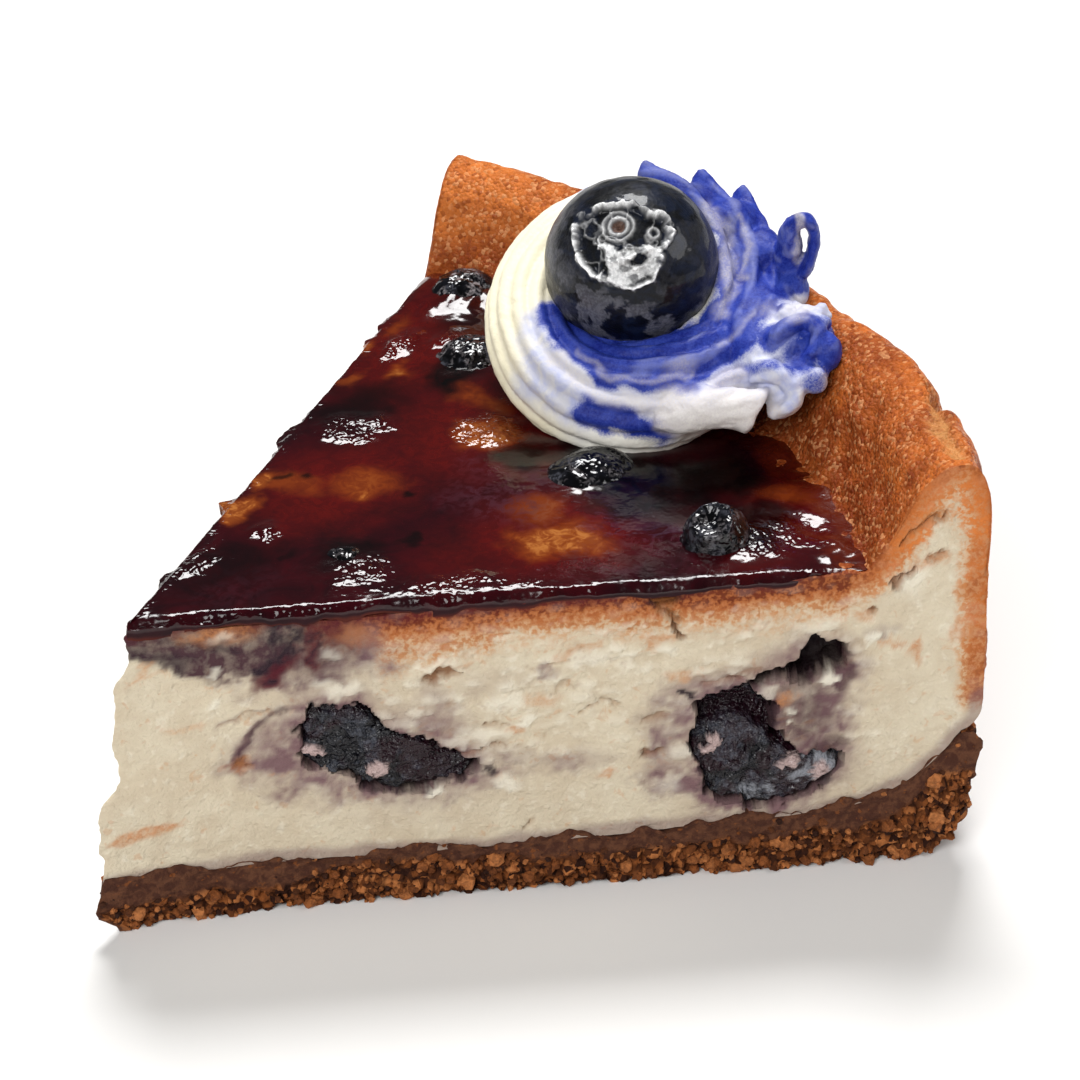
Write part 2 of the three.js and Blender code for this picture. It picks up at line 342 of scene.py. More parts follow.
def closedTube(sections, ends):
    # A bead through closed sections, with a place at each end that shuts it.
    steps, sides = sections.shape[:2]
    faces = []
    for i in range(steps - 1):
        for j in range(sides):
            n = (j + 1) % sides
            faces.append([i * sides + j, i * sides + n, (i + 1) * sides + n, (i + 1) * sides + j])
    for j in range(sides):
        n = (j + 1) % sides
        faces.append([steps * sides, n, j])
        faces.append([steps * sides + 1, (steps - 1) * sides + j, (steps - 1) * sides + n])
    return np.concatenate([sections.reshape(-1, 3), ends]), faces


def quadsOf(faces):
    return np.array([face for face in faces if len(face) == 4])


def levelRadius(points):
    return np.hypot(points[:, 0], points[:, 1])


def levelWay(points):
    # Straight out from the slice's point, level.
    return points * (1, 1, 0) / np.maximum(levelRadius(points), 1e-6)[:, None]


def cutNormal(side):
    return np.where(side[:, None] <= 0, nearNormal, farNormal)


def cutDistance(points):
    return np.minimum(np.abs(points @ nearNormal), np.abs(points @ farNormal))


def unitRows(rows):
    return rows / np.linalg.norm(rows, axis=1, keepdims=True)


def evaluatedMesh(piece):
    # The mesh that a piece's modifiers make. The piece itself goes.
    bpy.context.view_layer.update()
    graph = bpy.context.evaluated_depsgraph_get()
    mesh = bpy.data.meshes.new_from_object(piece.evaluated_get(graph))
    bpy.data.objects.remove(piece)
    return mesh


def vectorsOf(vertices, name):
    values = np.zeros(len(vertices) * 3)
    vertices.foreach_get(name, values)
    return values.reshape(-1, 3)


# Shader helpers.

def linear(hexColour):
    channels = [int(hexColour[k:k + 2], 16) / 255 for k in (1, 3, 5)]
    return [c / 12.92 if c <= 0.04045 else ((c + 0.055) / 1.055) ** 2.4 for c in channels] + [1.0]


def addNode(tree, kind, inputs=None, **settings):
    node = tree.nodes.new(kind)
    for name, value in settings.items():
        setattr(node, name, value)
    for name, value in (inputs or {}).items():
        if isinstance(value, bpy.types.NodeSocket):
            tree.links.new(value, node.inputs[name])
        else:
            node.inputs[name].default_value = value
    return node


def feed(value, node, name):
    value.id_data.links.new(value, node.inputs[name])


def blendColours(factor, first, second):
    tree = factor.id_data
    node = addNode(tree, "ShaderNodeMix", data_type="RGBA")
    for index, value in ((0, factor), (6, first), (7, second)):
        if isinstance(value, bpy.types.NodeSocket):
            tree.links.new(value, node.inputs[index])
        else:
            node.inputs[index].default_value = linear(value) if isinstance(value, str) else value
    return node.outputs[2]


def calculate(tree, operation, first, second, third=0.0):
    node = addNode(tree, "ShaderNodeMath", operation=operation)
    for index, value in enumerate((first, second, third)):
        if isinstance(value, bpy.types.NodeSocket):
            tree.links.new(value, node.inputs[index])
        else:
            node.inputs[index].default_value = value
    return node.outputs[0]


def times(first, second):
    return calculate(first.id_data, "MULTIPLY", first, second)


def plus(first, second):
    return calculate(first.id_data, "ADD", first, second)


def over(colour, mask, paint, share=1):
    # Paint laid over a colour where the mask says.
    return blendColours(mask if share == 1 else times(mask, share), colour, paint)


def mapped(value, low, high, newLow=0.0, newHigh=1.0):
    inputs = {"Value": value, "From Min": low, "From Max": high, "To Min": newLow, "To Max": newHigh}
    return addNode(value.id_data, "ShaderNodeMapRange", inputs).outputs[0]


def painted(tree, name):
    return addNode(tree, "ShaderNodeAttribute", attribute_name=name).outputs["Fac"]


def newGroup(name, inputs, outputs):
    group = bpy.data.node_groups.new(name, "ShaderNodeTree")
    for socketName, kind, default in inputs:
        socket = group.interface.new_socket(socketName, in_out="INPUT", socket_type=kind)
        if default is not None:
            socket.default_value = default
    for socketName, kind in outputs:
        group.interface.new_socket(socketName, in_out="OUTPUT", socket_type=kind)
    return group, group.nodes.new("NodeGroupInput").outputs, group.nodes.new("NodeGroupOutput").inputs


def makeMottle():
    # Cloudy light and dark patches with a crisp or soft edge.
    inputs = [("Vector", "NodeSocketVector", None), ("Size", "NodeSocketFloat", 2.0),
              ("Low", "NodeSocketFloat", 0.4), ("High", "NodeSocketFloat", 0.6),
              ("Warp", "NodeSocketFloat", 0.0), ("Detail", "NodeSocketFloat", 5.0)]
    group, given, made = newGroup("mottle", inputs, [("Mask", "NodeSocketFloat")])
    scale = calculate(group, "DIVIDE", 1000, given["Size"])
    texture = {"Vector": given["Vector"], "Scale": scale, "Detail": given["Detail"], "Roughness": 0.6,
               "Distortion": given["Warp"]}
    noise = addNode(group, "ShaderNodeTexNoise", texture)
    limits = {"Value": noise.outputs["Fac"], "From Min": given["Low"], "From Max": given["High"]}
    mask = addNode(group, "ShaderNodeMapRange", limits, interpolation_type="SMOOTHSTEP")
    group.links.new(mask.outputs[0], made["Mask"])
    return group


def makeLumps():
    # Rounded grains packed side by side: their height and a value for each one.
    inputs = [("Vector", "NodeSocketVector", None), ("Size", "NodeSocketFloat", 1.0)]
    outputs = [("Height", "NodeSocketFloat"), ("Grain", "NodeSocketFloat")]
    group, given, made = newGroup("packedLumps", inputs, outputs)
    scale = calculate(group, "DIVIDE", 1000, given["Size"])
    texture = {"Vector": given["Vector"], "Scale": scale, "Randomness": 1.0}
    voronoi = addNode(group, "ShaderNodeTexVoronoi", texture)
    height = calculate(group, "SUBTRACT", 1, voronoi.outputs["Distance"])
    split = addNode(group, "ShaderNodeSeparateColor", {"Color": voronoi.outputs["Color"]})
    group.links.new(height, made["Height"])
    group.links.new(split.outputs[0], made["Grain"])
    return group


mottleGroup = makeMottle()
lumpsGroup = makeLumps()


def startMaterial(name, **shaderValues):
    material = bpy.data.materials.new(name)
    material.use_nodes = True
    tree = material.node_tree
    shader = tree.nodes["Principled BSDF"]
    for socket, value in shaderValues.items():
        shader.inputs[socket.replace("_", " ")].default_value = value
    where = addNode(tree, "ShaderNodeTexCoord").outputs["Object"]
    return material, tree, shader, where


def mottle(where, size, low, high, warp=0.0, detail=5.0):
    node = addNode(where.id_data, "ShaderNodeGroup", node_tree=mottleGroup)
    feed(where, node, "Vector")
    for name, value in (("Size", size), ("Low", low), ("High", high), ("Warp", warp), ("Detail", detail)):
        node.inputs[name].default_value = value
    return node.outputs["Mask"]


def lumps(where, size):
    node = addNode(where.id_data, "ShaderNodeGroup", node_tree=lumpsGroup)
    feed(where, node, "Vector")
    node.inputs["Size"].default_value = size
    return node.outputs["Height"], node.outputs["Grain"]


def addBump(shader, height, distance, strength):
    values = {"Height": height, "Distance": distance * mm, "Strength": strength}
    bump = addNode(height.id_data, "ShaderNodeBump", values)
    feed(bump.outputs[0], shader, "Normal")


# The filling.

filling = {
    "columnsFlat": 236,  # small faces along the flat part of the section
    "columnsEnd": 78,  # and over the rim
    "rows": 94,
    "turns": 186,  # round the rim and wall
    "curdRelief": 0.34,
    "smooth": "#dbceb5",
    "shade": "#c7b499",
    "curd": "#f1ead8",
    "mauve": "#7e6163",
    "crushed": "#4d3439",
    "seep": "#261a24",
    "wine": "#55121f",
    "bakeLight": "#cb976a",
    "bakeMid": "#b2683a",
    "bakeDark": "#74341c",
    "rimTop": "#cf6f2f",
    "rimDark": "#742a11",
    "rimBright": "#df7f3a",
    "glint": "#dc9560",
    "paleGrain": "#eaa873",
    "torn": "#cc9258",
    "stuck": "#c58350",
    "crackShade": "#8f5a31",
    "hollow": "#150b10",
    "pitDepth": 0.9,
    "gashDepth": 3.4,
    "bedDepth": 4.2,
}
# How far the slumped point stands out at each height, as (height, distance).
pointLean = [(0, 2.6), (3.5, 3.7), (8, 3.5), (16, 2.9), (24, 2.2), (31, 1.3), (34, 0.7), (40, 0.4)]
pointLumps = [(0, 1), (3.5, 2.6), (6, 2), (9.5, 1.2), (12, 2), (17, 2), (18.6, 0), (21, 0.1), (23, 1.1),
              (26, 0.8), (31, 1.2), (32.2, 0), (40, 0.2)]

leftBerryOutline = [(18, 26.2), (20, 26), (21.6, 25.5), (23, 25.6), (24.8, 23.9), (28.4, 21), (32.6, 18.8),
                    (35.4, 17.6), (35.8, 16.3), (33.5, 15), (30, 14.3), (26, 14.3), (23.4, 15.3),
                    (22.2, 16.9), (20.3, 17.2), (17.4, 18.6), (16.3, 20.4), (17.6, 21.6), (17.3, 23.4)]
rightBerryOutline = [(58.7, 22.8), (60.2, 24.1), (62, 24.7), (65.3, 24.5), (65.6, 23.4), (67.4, 21.8),
                     (67.4, 18.6), (68.4, 16.6), (70.3, 15.3), (72.6, 15.6), (74.3, 15.3), (74.9, 13.2),
                     (73.6, 11.4), (69.2, 9), (66.8, 8.5), (64.6, 8.7), (64.2, 9.9), (61.8, 10.1),
                     (60, 11.3), (59.9, 13.2), (58.3, 17.2), (59.2, 19.2)]
# What shows on each cut face, in (distance from the point, height).
nearMarks = {
    "halo": [
        area([(10.5, 19.6), (12, 22.8), (14.4, 25.8), (18, 27.4), (24.5, 26.6), (27.5, 24.2), (31.5, 25),
              (34, 22), (38, 18.6), (40, 15.6), (36, 13.4), (28, 12.9), (20, 13.6), (15, 15.8),
              (12.4, 17.8)], 0.95, 2.4, ragged=0.9),
        stroke([(10.8, 19.6), (11.8, 22.4), (13.4, 24.6), (15.6, 25.8), (18, 26.4)], 0.62, 1, 0.7),
        stroke([(11.4, 19.2), (12.6, 18.4), (15.6, 17.8)], 0.5, 0.7, 0.8),
        stroke([(9, 24.9), (11.6, 25.5), (13.8, 25.9)], 0.3, 0.6, 0.8),
        area([(10, 31.5), (13.6, 27.6), (18, 26.6), (24, 28.6), (27, 32), (25, 36), (16, 33)],
              0.85, 2.6, ragged=1),
        oval(31.6, 24.2, 1.9, 3.6, 0.6, 0.8, 14), oval(38, 17.6, 3.2, 1.4, 0.7, 0.7),
        oval(45, 16.8, 4, 1.3, 0.55, 0.8), oval(37.5, 27.4, 4.5, 1.6, 0.2, 0.8),
        oval(43.2, 28.5, 0.8, 1.2, 0.8, 0.5, 30),
        area([(53.5, 20), (55, 24.6), (58, 26.4), (65, 27.2), (70, 31), (74, 30), (77, 27), (76.2, 20),
              (76, 13), (73, 9.2), (66, 7.8), (60, 8.6), (55, 11.5), (52.4, 13.6), (54.8, 16)],
              0.95, 1.8, ragged=0.9),
        oval(57.4, 21.6, 2.2, 1.6, 0.8, 0.6), oval(57, 17.4, 2.6, 1.2, 0.45, 0.6),
        oval(78.8, 29.9, 1.8, 0.8, 0.8, 0.7, 10), oval(62, 12.4, 3.4, 2.6, 0.7, 0.6),
    ],
    "crushed": [
        area([(-1, 38), (-1, 34.6), (2.4, 33.4), (5.6, 31.7), (8, 30.8), (11.4, 30.2), (14.6, 30.6),
              (15.8, 33), (16.6, 38)], 1.1, 0.5, ragged=0.6),
        stroke([(10.9, 19.8), (11.8, 22.2), (13.4, 24.4), (15.4, 25.6)], 0.4, 0.8, 0.9),
        oval(17.8, 34, 5.2, 4.2, 0.9, 0.6, -10, ragged=1), oval(18.8, 30.2, 3.4, 2, 0.6, 0.8, ragged=1),
        oval(70.2, 20.6, 4.2, 4.4, 0.6, 0.6, ragged=0.8), oval(60.4, 16.6, 1.8, 1.1, 0.7, 0.5),
        oval(74.9, 25.4, 0.9, 2.6, 0.9, 0.6), oval(73.4, 16.3, 1.8, 0.8, 0.9, 0.6),
    ],
    "seep": [
        stroke([(-0.5, 34.6), (3, 33.5), (6, 32.4)], 0.8, 0.65, 0.8),
        stroke([(3.4, 35.8), (7.4, 34.4), (11, 33.2)], 0.35, 0.5, 0.8),
        stroke([(16.8, 38), (16, 35.8), (16.6, 34.2), (15.5, 32.8), (14.4, 31.4), (12.6, 30.6)],
                0.7, 0.95, 0.9, ragged=1.2),
        stroke([(17, 34.6), (18.6, 33), (19.4, 31.4)], 0.4, 0.7, 0.9, ragged=1.2),
        oval(36.7, 15.9, 0.8, 0.6, 0.9, 0.5), oval(55.3, 35.9, 1.6, 0.8),
        stroke([(58.4, 23.6), (57.2, 24.2)], 0.35, 1, 0.6),
    ],
    "wine": [
        stroke([(16.2, 32.6), (14.6, 30), (13, 29.4)], 0.9, 1, 0.7),
        stroke([(18.2, 38), (18.4, 33.4), (18.8, 31.2)], 0.8, 0.9, 0.7),
        oval(20.4, 35.4, 1.6, 1.6, 0.8, 0.6), stroke([(74, 28), (74.4, 26.4)], 0.5, 0.6, 0.6),
    ],
    "tan": [
        area([(0.4, 11.9), (1.4, 13), (5, 13.3), (6, 12.8), (4.4, 12), (1.4, 11.5)], 1, 0.3, ragged=0.25),
        stroke([(2, 33.2), (1.2, 31.2)], 0.35, 0.7, 0.8), stroke([(4.4, 25.2), (7.8, 25)], 0.25, 0.5, 0.9),
        oval(42.4, 24.6, 1.7, 0.8, 0.6, 0.6), oval(49.5, 14.6, 1, 0.5, 0.9, 0.5, 10),
        oval(57.1, 26.6, 1.2, 0.7, 0.85, 0.5), oval(39.4, 21.4, 0.6, 0.4, 0.9, 0.5),
        stroke([(43.8, 30.2), (46.6, 30.8), (48, 31.2)], 0.4, 0.7, 0.8),
        stroke([(54, 30.9), (56.4, 31.4)], 0.5, 0.8, 0.8),
        stroke([(32.6, 29.4), (34.8, 29.6)], 0.3, 0.6, 0.8),
        stroke([(80, 41.2), (81.8, 42.9), (84, 44.3)], 0.5, 0.9, 0.7),
        stroke([(79.6, 36.6), (81.2, 37.8), (83.2, 38.2), (85.4, 39.2)], 0.6, 1, 0.6),
        oval(84.6, 38.8, 1.5, 0.6, 1, 0.5, 20), oval(87, 34.6, 0.9, 0.8, 1, 0.5),
        oval(87.2, 29.6, 1, 1.5, 1, 0.5), oval(77, 32.2, 1, 0.9, 0.8, 0.5),
        oval(82.7, 27.4, 0.5, 1.5, 1, 0.6, -8), stroke([(78.6, 28.6), (81.6, 28.4)], 0.35, 0.8, 0.7),
        oval(11.2, 19.7, 0.9, 0.8, 0.7, 0.5), stroke([(13.2, 18), (15.6, 17.4)], 0.2, 0.7, 0.8),
        oval(9, 36, 3.6, 1.3, 0.85, 0.7), oval(68.4, 22, 1, 0.8, 0.9, 0.5),
        oval(22.6, 34.6, 2, 1, 0.5, 0.6),
    ],
    "white": [
        oval(9.4, 35.2, 1.2, 0.5, 0.5, 0.6, 8), oval(8.8, 31.4, 0.7, 0.45, 0.7, 0.5, 30),
        oval(30.7, 13.9, 1, 0.6, 1, 0.3), oval(38.9, 14.2, 1.4, 0.9, 0.8, 0.5, -30),
        oval(33.6, 16.9, 0.7, 0.6, 0.8, 0.3), oval(40.6, 22.4, 1.3, 0.7, 0.9, 0.3, 6),
        oval(38.4, 24.6, 2.1, 0.9, 0.75, 0.5, 6), oval(36.6, 20.6, 2.4, 0.7, 0.7, 0.5, 12),
        oval(33.6, 20.2, 1.6, 0.7, 0.6, 0.5, 6), oval(21.6, 27.4, 1.9, 0.8, 0.8, 0.5, 4),
        oval(19.6, 28.6, 1.3, 0.8, 0.6, 0.5), oval(20.6, 32.4, 0.9, 0.6, 0.5, 0.6),
        oval(31, 29.9, 2.4, 0.5, 0.8, 0.5, 4), oval(47.2, 29.6, 2, 0.9, 0.7, 0.5, 20),
        oval(66.6, 23.5, 1, 0.8, 0.5), oval(73.1, 24.4, 1, 0.7, 1, 0.25, 30),
        oval(69.4, 19.4, 0.4, 0.3, 1, 0.3), oval(69.4, 20.7, 0.8, 0.5, 0.7, 0.3),
        oval(77.6, 29.2, 0.6, 0.6), oval(81.4, 36.4, 2, 1.6, 0.7, 0.5, 20),
        oval(72, 31.8, 2.6, 0.9, 0.7, 0.5, 4), oval(57.4, 16.2, 1.3, 0.9, 0.7, 0.5),
        oval(56.4, 12.6, 1.7, 1, 0.5, 0.6), oval(-2.4, 14.6, 1.6, 3.4, 0.7, 0.6),
        oval(9, 27.2, 0.6, 0.5, 0.8, 0.5),
    ],
    "pits": [
        area([(30.3, 28.2), (31.5, 29.1), (32.4, 29.2), (34, 28.6), (32.7, 28), (31.4, 27.9)], 1, 0.3),
        area([(53.2, 38.5), (54.3, 36.2), (55.3, 34.6), (56.4, 33.2), (56.5, 35.4), (56.7, 38.5)],
              1.2, 0.6),
        stroke([(56.2, 33.9), (56.9, 32.4), (57.3, 31)], 0.34, 1, 0.5),
        stroke([(79.6, 36.3), (80.4, 36.9), (81.6, 37.6)], 0.4, 0.9, 0.6),
        stroke([(80.2, 41.4), (82, 43), (83.6, 43.9)], 0.25, 0.6, 0.6),
        stroke([(83, 38.3), (85, 39.3)], 0.3, 0.6, 0.6), oval(80, 35.9, 0.5, 0.6),
        oval(77.6, 32.6, 0.7, 0.4, 0.8), stroke([(47, 22.9), (48.6, 23.5), (50.4, 23)], 0.22, 0.45, 0.7),
        stroke([(35.4, 21.6), (38.6, 22.2)], 0.2, 0.4, 0.7),
        stroke([(33.6, 18.7), (38.6, 19.3)], 0.25, 0.5, 0.7),
        stroke([(43.4, 25.9), (46.2, 26.4)], 0.2, 0.35, 0.7),
        stroke([(53.4, 20.3), (55.8, 21)], 0.25, 0.5, 0.7),
        stroke([(40, 8.7), (41.4, 8.9)], 0.16, 0.5, 0.7), stroke([(9, 24.7), (13.4, 25.6)], 0.2, 0.3, 0.7),
        stroke([(65.6, 26.4), (62, 25.6), (59.6, 25.4)], 0.3, 0.4, 0.7),
        stroke([(53.6, 17.3), (55.4, 17)], 0.3, 0.7, 0.7), oval(11.2, 19.7, 0.6, 0.6, 0.5),
    ],
    "gash": [
        area([(64.8, 24), (65.8, 25.6), (68.2, 26.3), (69.8, 27), (70.2, 28.4), (71.4, 30.3), (72.4, 29.5),
              (74.4, 28.8), (75, 27.4), (74.4, 25.9), (72.9, 25.4), (71.2, 24.9), (70.3, 24), (69.3, 25),
              (67, 25.1), (65.9, 24.4)], 1, 0.35, ragged=0.3),
    ],
}
farMarks = {
    "halo": [
        oval(36.5, 23.5, 11.5, 7.4, 0.6, 0.5, 14),
        stroke([(26, 26.6), (26.4, 23), (29, 18.6)], 0.7, 0.9, 0.7), oval(63, 17, 8.4, 7, 0.55, 0.45, -16),
        oval(20, 14, 4.5, 1.6, 0.35, 0.7, 20), oval(50.5, 29, 1.2, 1.5, 0.6, 0.5),
    ],
    "crushed": [oval(30, 35.6, 8, 2.4, 0.9, 0.5, -6, ragged=1), oval(4, 36, 5, 1.6, 0.7, 0.5, -8)],
    "seep": [stroke([(28.6, 38), (28, 34.6), (27, 32.6)], 0.9, 1, 0.5), oval(66, 35.8, 2.4, 1.2, 0.8, 0.5)],
    "wine": [stroke([(31, 38), (31.4, 33.6)], 0.9, 1, 0.7)],
    "tan": [
        oval(12, 24, 1.6, 0.6, 0.6, 0.6, 20),
        stroke([(80.2, 37.4), (82.4, 38.4), (84.8, 38)], 0.6, 0.9, 0.6), oval(47, 12.8, 1.2, 0.6, 0.7, 0.5),
        oval(54, 26.4, 1.6, 0.8, 0.6, 0.5), oval(87, 33, 0.9, 1.4, 1, 0.5),
    ],
    "white": [
        oval(44, 25.4, 2, 0.9, 0.8, 0.4, 6), oval(24.6, 22, 1.6, 0.8, 0.7, 0.4, -12),
        oval(52.6, 17.6, 1.3, 0.8, 0.9), oval(71, 24.6, 1.6, 0.9, 0.7, 0.4, 16),
        oval(17, 30, 1.8, 0.8, 0.6, 0.4, 4),
    ],
    "pits": [
        area([(50.6, 22), (51.8, 22.9), (53.6, 22.6), (52.4, 21.8)], 1, 0.3), oval(23, 27.5, 1.2, 0.6, 0.9),
        stroke([(71.4, 37), (71, 34.6), (72, 32.2)], 0.5, 1.2, 0.5),
        stroke([(56, 25.2), (59.4, 26)], 0.25, 0.5, 0.7),
    ],
    "gash": [oval(40.6, 28.4, 3.6, 0.8, 1, 0.4, -18)],
}


bendRadius = 74.0  # here the crust starts to climb and the rim above it to rise


def lowerOutline():
    bend = (bendRadius, crustTop + 0.2)
    flat = outline((0, crustTop - 0.5), (28, crustTop - 1.1), (50, crustTop - 0.8), bend)
    climb = outline(bend, (82.8, crustTop + 1.4, 87.8, crustTop + 9.6), (cakeRadius, 17.4, cakeRadius, 21))
    return flat, climb


def upperOutline():
    # The glaze thins out at the foot of the rim.
    foot = (bendRadius, glazeTop - 0.5)
    flat = outline((0, seatHeight), (25, seatHeight), (58, seatRight), (66, seatRight), foot)
    rim = outline(
        foot,
        (76.8, foot[1]),
        (78.4, 39.6, 80.4, 44.6),
        (82.6, rimHeight, 86.2, rimHeight),
        (cakeRadius - 0.4, rimHeight, cakeRadius - 0.3, 36),
    )
    return flat, rim


def slump(points, share=1.0):
    # The soft point of the slice leans outward towards its foot and is torn into small lumps.
    reach = levelRadius(points)
    lean = np.interp(points[:, 2], *np.array(pointLean).T) * np.exp(-(reach / 9.0) ** 2)
    bumpHeight = points[:, 2] + 0.5 * fractal(points, 1.5, 2, 92)
    bumps = np.interp(bumpHeight, *np.array(pointLumps).T) + 0.35 * fractal(points, 1.8, 3, 91)
    moved = points.copy()
    moved[:, 0] -= share * (lean + bumps * np.exp(-(reach / 2.6) ** 2))
    return moved


def bedMasks(points, plane, side, warp):
    # The hollow each burst berry lies in, and the juice soaked into the curd round it.
    bed = np.zeros(len(plane))
    soaked = np.zeros(len(plane))
    fine = bending(points, 0.9, 2, 7)
    for berry in bakedBerries.values():
        depth = insideDepth(plane + warp * 0.5 + fine * 0.35, berry["outline"])
        here = side == berry["side"]
        bed = np.where(here, np.maximum(bed, ease(depth, -0.15, 0.45)), bed)
        soaked = np.where(here, np.maximum(soaked, np.exp(np.minimum(depth, 0) / 1.5)), soaked)
    return bed, soaked


def makeFilling():
    low, high = lowerOutline(), upperOutline()
    points, faces, side = wedgeSolid(
        filling, low, high, lambda r, z: (z > 30 and r > 74.5) or (r > 86.5 and z > 15.5)
    )
    normals = vertexNormals(points, quadsOf(faces))
    radius = levelRadius(points)
    height = points[:, 2]
    angle = np.degrees(np.arctan2(points[:, 1], points[:, 0]))
    onCut = ((side != 0) | (radius < 1e-6)) * 1.0
    plane = np.stack([radius, height], 1)
    around = np.stack([radius, angle * 1.5], 1)
    warp = bending(points, 2.2, 4, 5) + 0.6 * bending(points, 0.8, 2, 15)
    marks = {name: np.zeros(len(points)) for name in nearMarks}
    for chosen, which in ((nearMarks, (side < 0) | (radius < 1e-6)), (farMarks, side > 0)):
        for name in marks:
            marks[name][which] = patches(plane[which], chosen[name], warp[which])
    bed, soaked = bedMasks(points, plane, side, warp)
    topLine = np.concatenate([high[0][::20], high[1][::4]])
    fromTop = lineDistance(plane, topLine)
    fromSkin = lineDistance(plane, [*topLine[-25:], (cakeRadius, 34.0), (cakeRadius - 0.2, 18.0)])
    fromCrust = lineDistance(plane, np.concatenate([low[0][::30], low[1][::8]]))
    fromCut = cutDistance(points)

    # how curdy each place is: smooth low down and at both ends, flaky in the upper middle
    curdy = ease(height, 12, 20) * ease(radius, 12, 24) * (1 - 0.6 * ease(radius, 74, 80))
    curdy *= 0.35 + 0.65 * ease(fromTop, 0.8, 3.5)
    curdy = np.clip(curdy * (0.8 + 0.5 * fractal(points, 9, 2, 31)), 0.10, 1) * onCut
    flat = points * (0.5, 0.5, 1.0)
    nearest, _, label = cellNoise(flat + 0.3 * fractal(points, 1.6, 2, 41)[:, None], 1.25, 51)
    lumpTop = ease(nearest, 0.75, 0.25) * ease(label, 0.55, 0.8)
    tinyNear, _, tinyLabel = cellNoise(points * (0.7, 0.7, 1.0), 0.75, 55)
    tinyTop = ease(tinyNear, 0.6, 0.2) * ease(tinyLabel, 0.7, 0.9)
    layers = fractal(points * (0.45, 0.45, 1.5), 2.6, 4, 71)
    cracks = ease(1 - np.abs(fractal(points * (0.4, 0.4, 1.5), 2.4, 3, 75)), 0.93, 1)
    cracks *= ease(fractal(points, 5, 2, 76), 0, 0.5)
    fine = fractal(points, 0.7, 2, 61)
    relief = lumpTop + 0.5 * tinyTop + 0.7 * layers - 0.5 - 0.6 * cracks
    shift = curdy * filling["curdRelief"] * relief
    shift += onCut * (0.10 * fractal(points, 6, 3, 81) + 0.05 * fine)
    shift += onCut * 0.28 * marks["white"]
    shift -= marks["pits"] * filling["pitDepth"]
    shift -= marks["gash"] * filling["gashDepth"] * (1 + 0.2 * fractal(points, 1.2, 2, 121))
    shift -= np.where(marks["gash"] > 0.5, 0, bed * filling["bedDepth"])
    # grainy baked skin on the wall and rim
    skin = (1 - onCut) * (radius > 60)
    onRim = skin * ease(height, 38.5, 41)
    shift += skin * (0.22 * fractal(points, 7, 3, 151) + 0.10 * fractal(points, 1.7, 2, 161))
    shift += onRim * (0.45 * fractal(points, 8, 3, 171) + 0.22 * fractal(points, 2.6, 2, 172))
    shift += skin * ease(radius, 74, 76.5) * ease(height, 43, 40) * 0.4 * fractal(points, 2.4, 3, 173)
    split = stroke([(88.2, -31), (86.6, -32.2), (85.4, -36.4), (85.9, -43)], 0.85, soft=0.5)
    tear = markMask(around, split, warp) * skin
    shift -= tear * 0.8
    notch = spot(around, (88.4, -31.4), (1.6, 2), 0, 0.5, warp * 0.5) * skin
    shift -= notch * 1.3
    edgeDistance = np.where(onCut > 0, np.where(radius > bendRadius, fromTop, 9.0),
                            np.where(height > 30, fromCut, 9.0))
    shift -= 0.22 * np.exp(-(edgeDistance / 0.4) ** 2) * ease(radius, 75, 78)
    moved = slump(points + normals * shift[:, None])
    # the rim stands higher towards the near cut
    lift = ease(radius, 79, 85) * ease(height, 36, 46) * ease(angle, -5, -15)
    moved += lift[:, None] * (levelWay(points) * 0.6 + (0, 0, 1.0))

    # browning under the glaze, over the rim and down the wall
    cloud = fractal(points, 3.6, 4, 181)
    seatDepth = 7.6 + 1.8 * cloud + 1.2 * fractal(points, 9, 2, 182)
    bake = ease(fromTop, seatDepth, -0.2) * ease(radius, 16, 21)
    bake = bake + 0.28 * ease(radius, 50, 60) * ease(fromTop, 3.4, 0.4) * ease(radius, 77, 74)
    bake = np.where(radius > 75, 0.9 * ease(fromTop, 5.8 + 1.4 * cloud, -0.4), bake)
    outer = 0.72 * ease(fromSkin + 0.6 * cloud, 4, 1.2)
    bake = np.where((radius > 83) & (height < 45), np.maximum(outer, bake * ease(height, 38, 45)), bake)
    bake = np.where(onCut > 0, bake, 1.0)
    bake *= ease(height, 18.5, 21.5)
    dark = np.clip(0.22 + 0.60 * fractal(points, 4, 4, 191), 0, 1)
    foot = ease(radius - 0.30 * (height - 37) + 1.6 * cloud, 80.4, 77) * ease(height, 36, 37)
    dark = np.maximum(dark, foot * (0.8 + 0.3 * cloud))
    dark = np.maximum(dark, 0.55 * spot(around, (84.2, -20.0), (2.2, 6), 0, 0.8, warp))
    # painted light: the rim's top lighter towards the far cut, and the skin a little lighter near both cuts
    paintedRimLight = ease(angle, 15, 26) * ease(height, 41, 45.5) + ease(fromCut, 4, 0.5) * 0.3
    cloudy = 0.75 + 0.4 * fractal(points, 2.6, 4, 183)
    stain = ease(soaked, 0.72, 1) * (1 - bed) * np.clip(0.5 + 0.9 * fractal(points, 2.2, 3, 184), 0, 1)
    halo = np.maximum(marks["halo"] * (0.8 + 0.4 * warp[:, 1]), 1.1 * soaked * cloudy)
    clean = np.clip(1 - marks["crushed"] - 0.8 * marks["seep"] - 0.6 * halo - 0.6 * bake, 0, 1)
    edgeStain = 0.8 * ease(fromTop + 0.9 * cloud, 1.5, 0) * ease(radius, 75, 70) * onCut
    rimFoot = ease(radius - 0.35 * (height - 37) + 2.4 * warp[:, 0], 79, 76.4)
    rimStain = 0.75 * skin * rimFoot * ease(height, 36, 37)
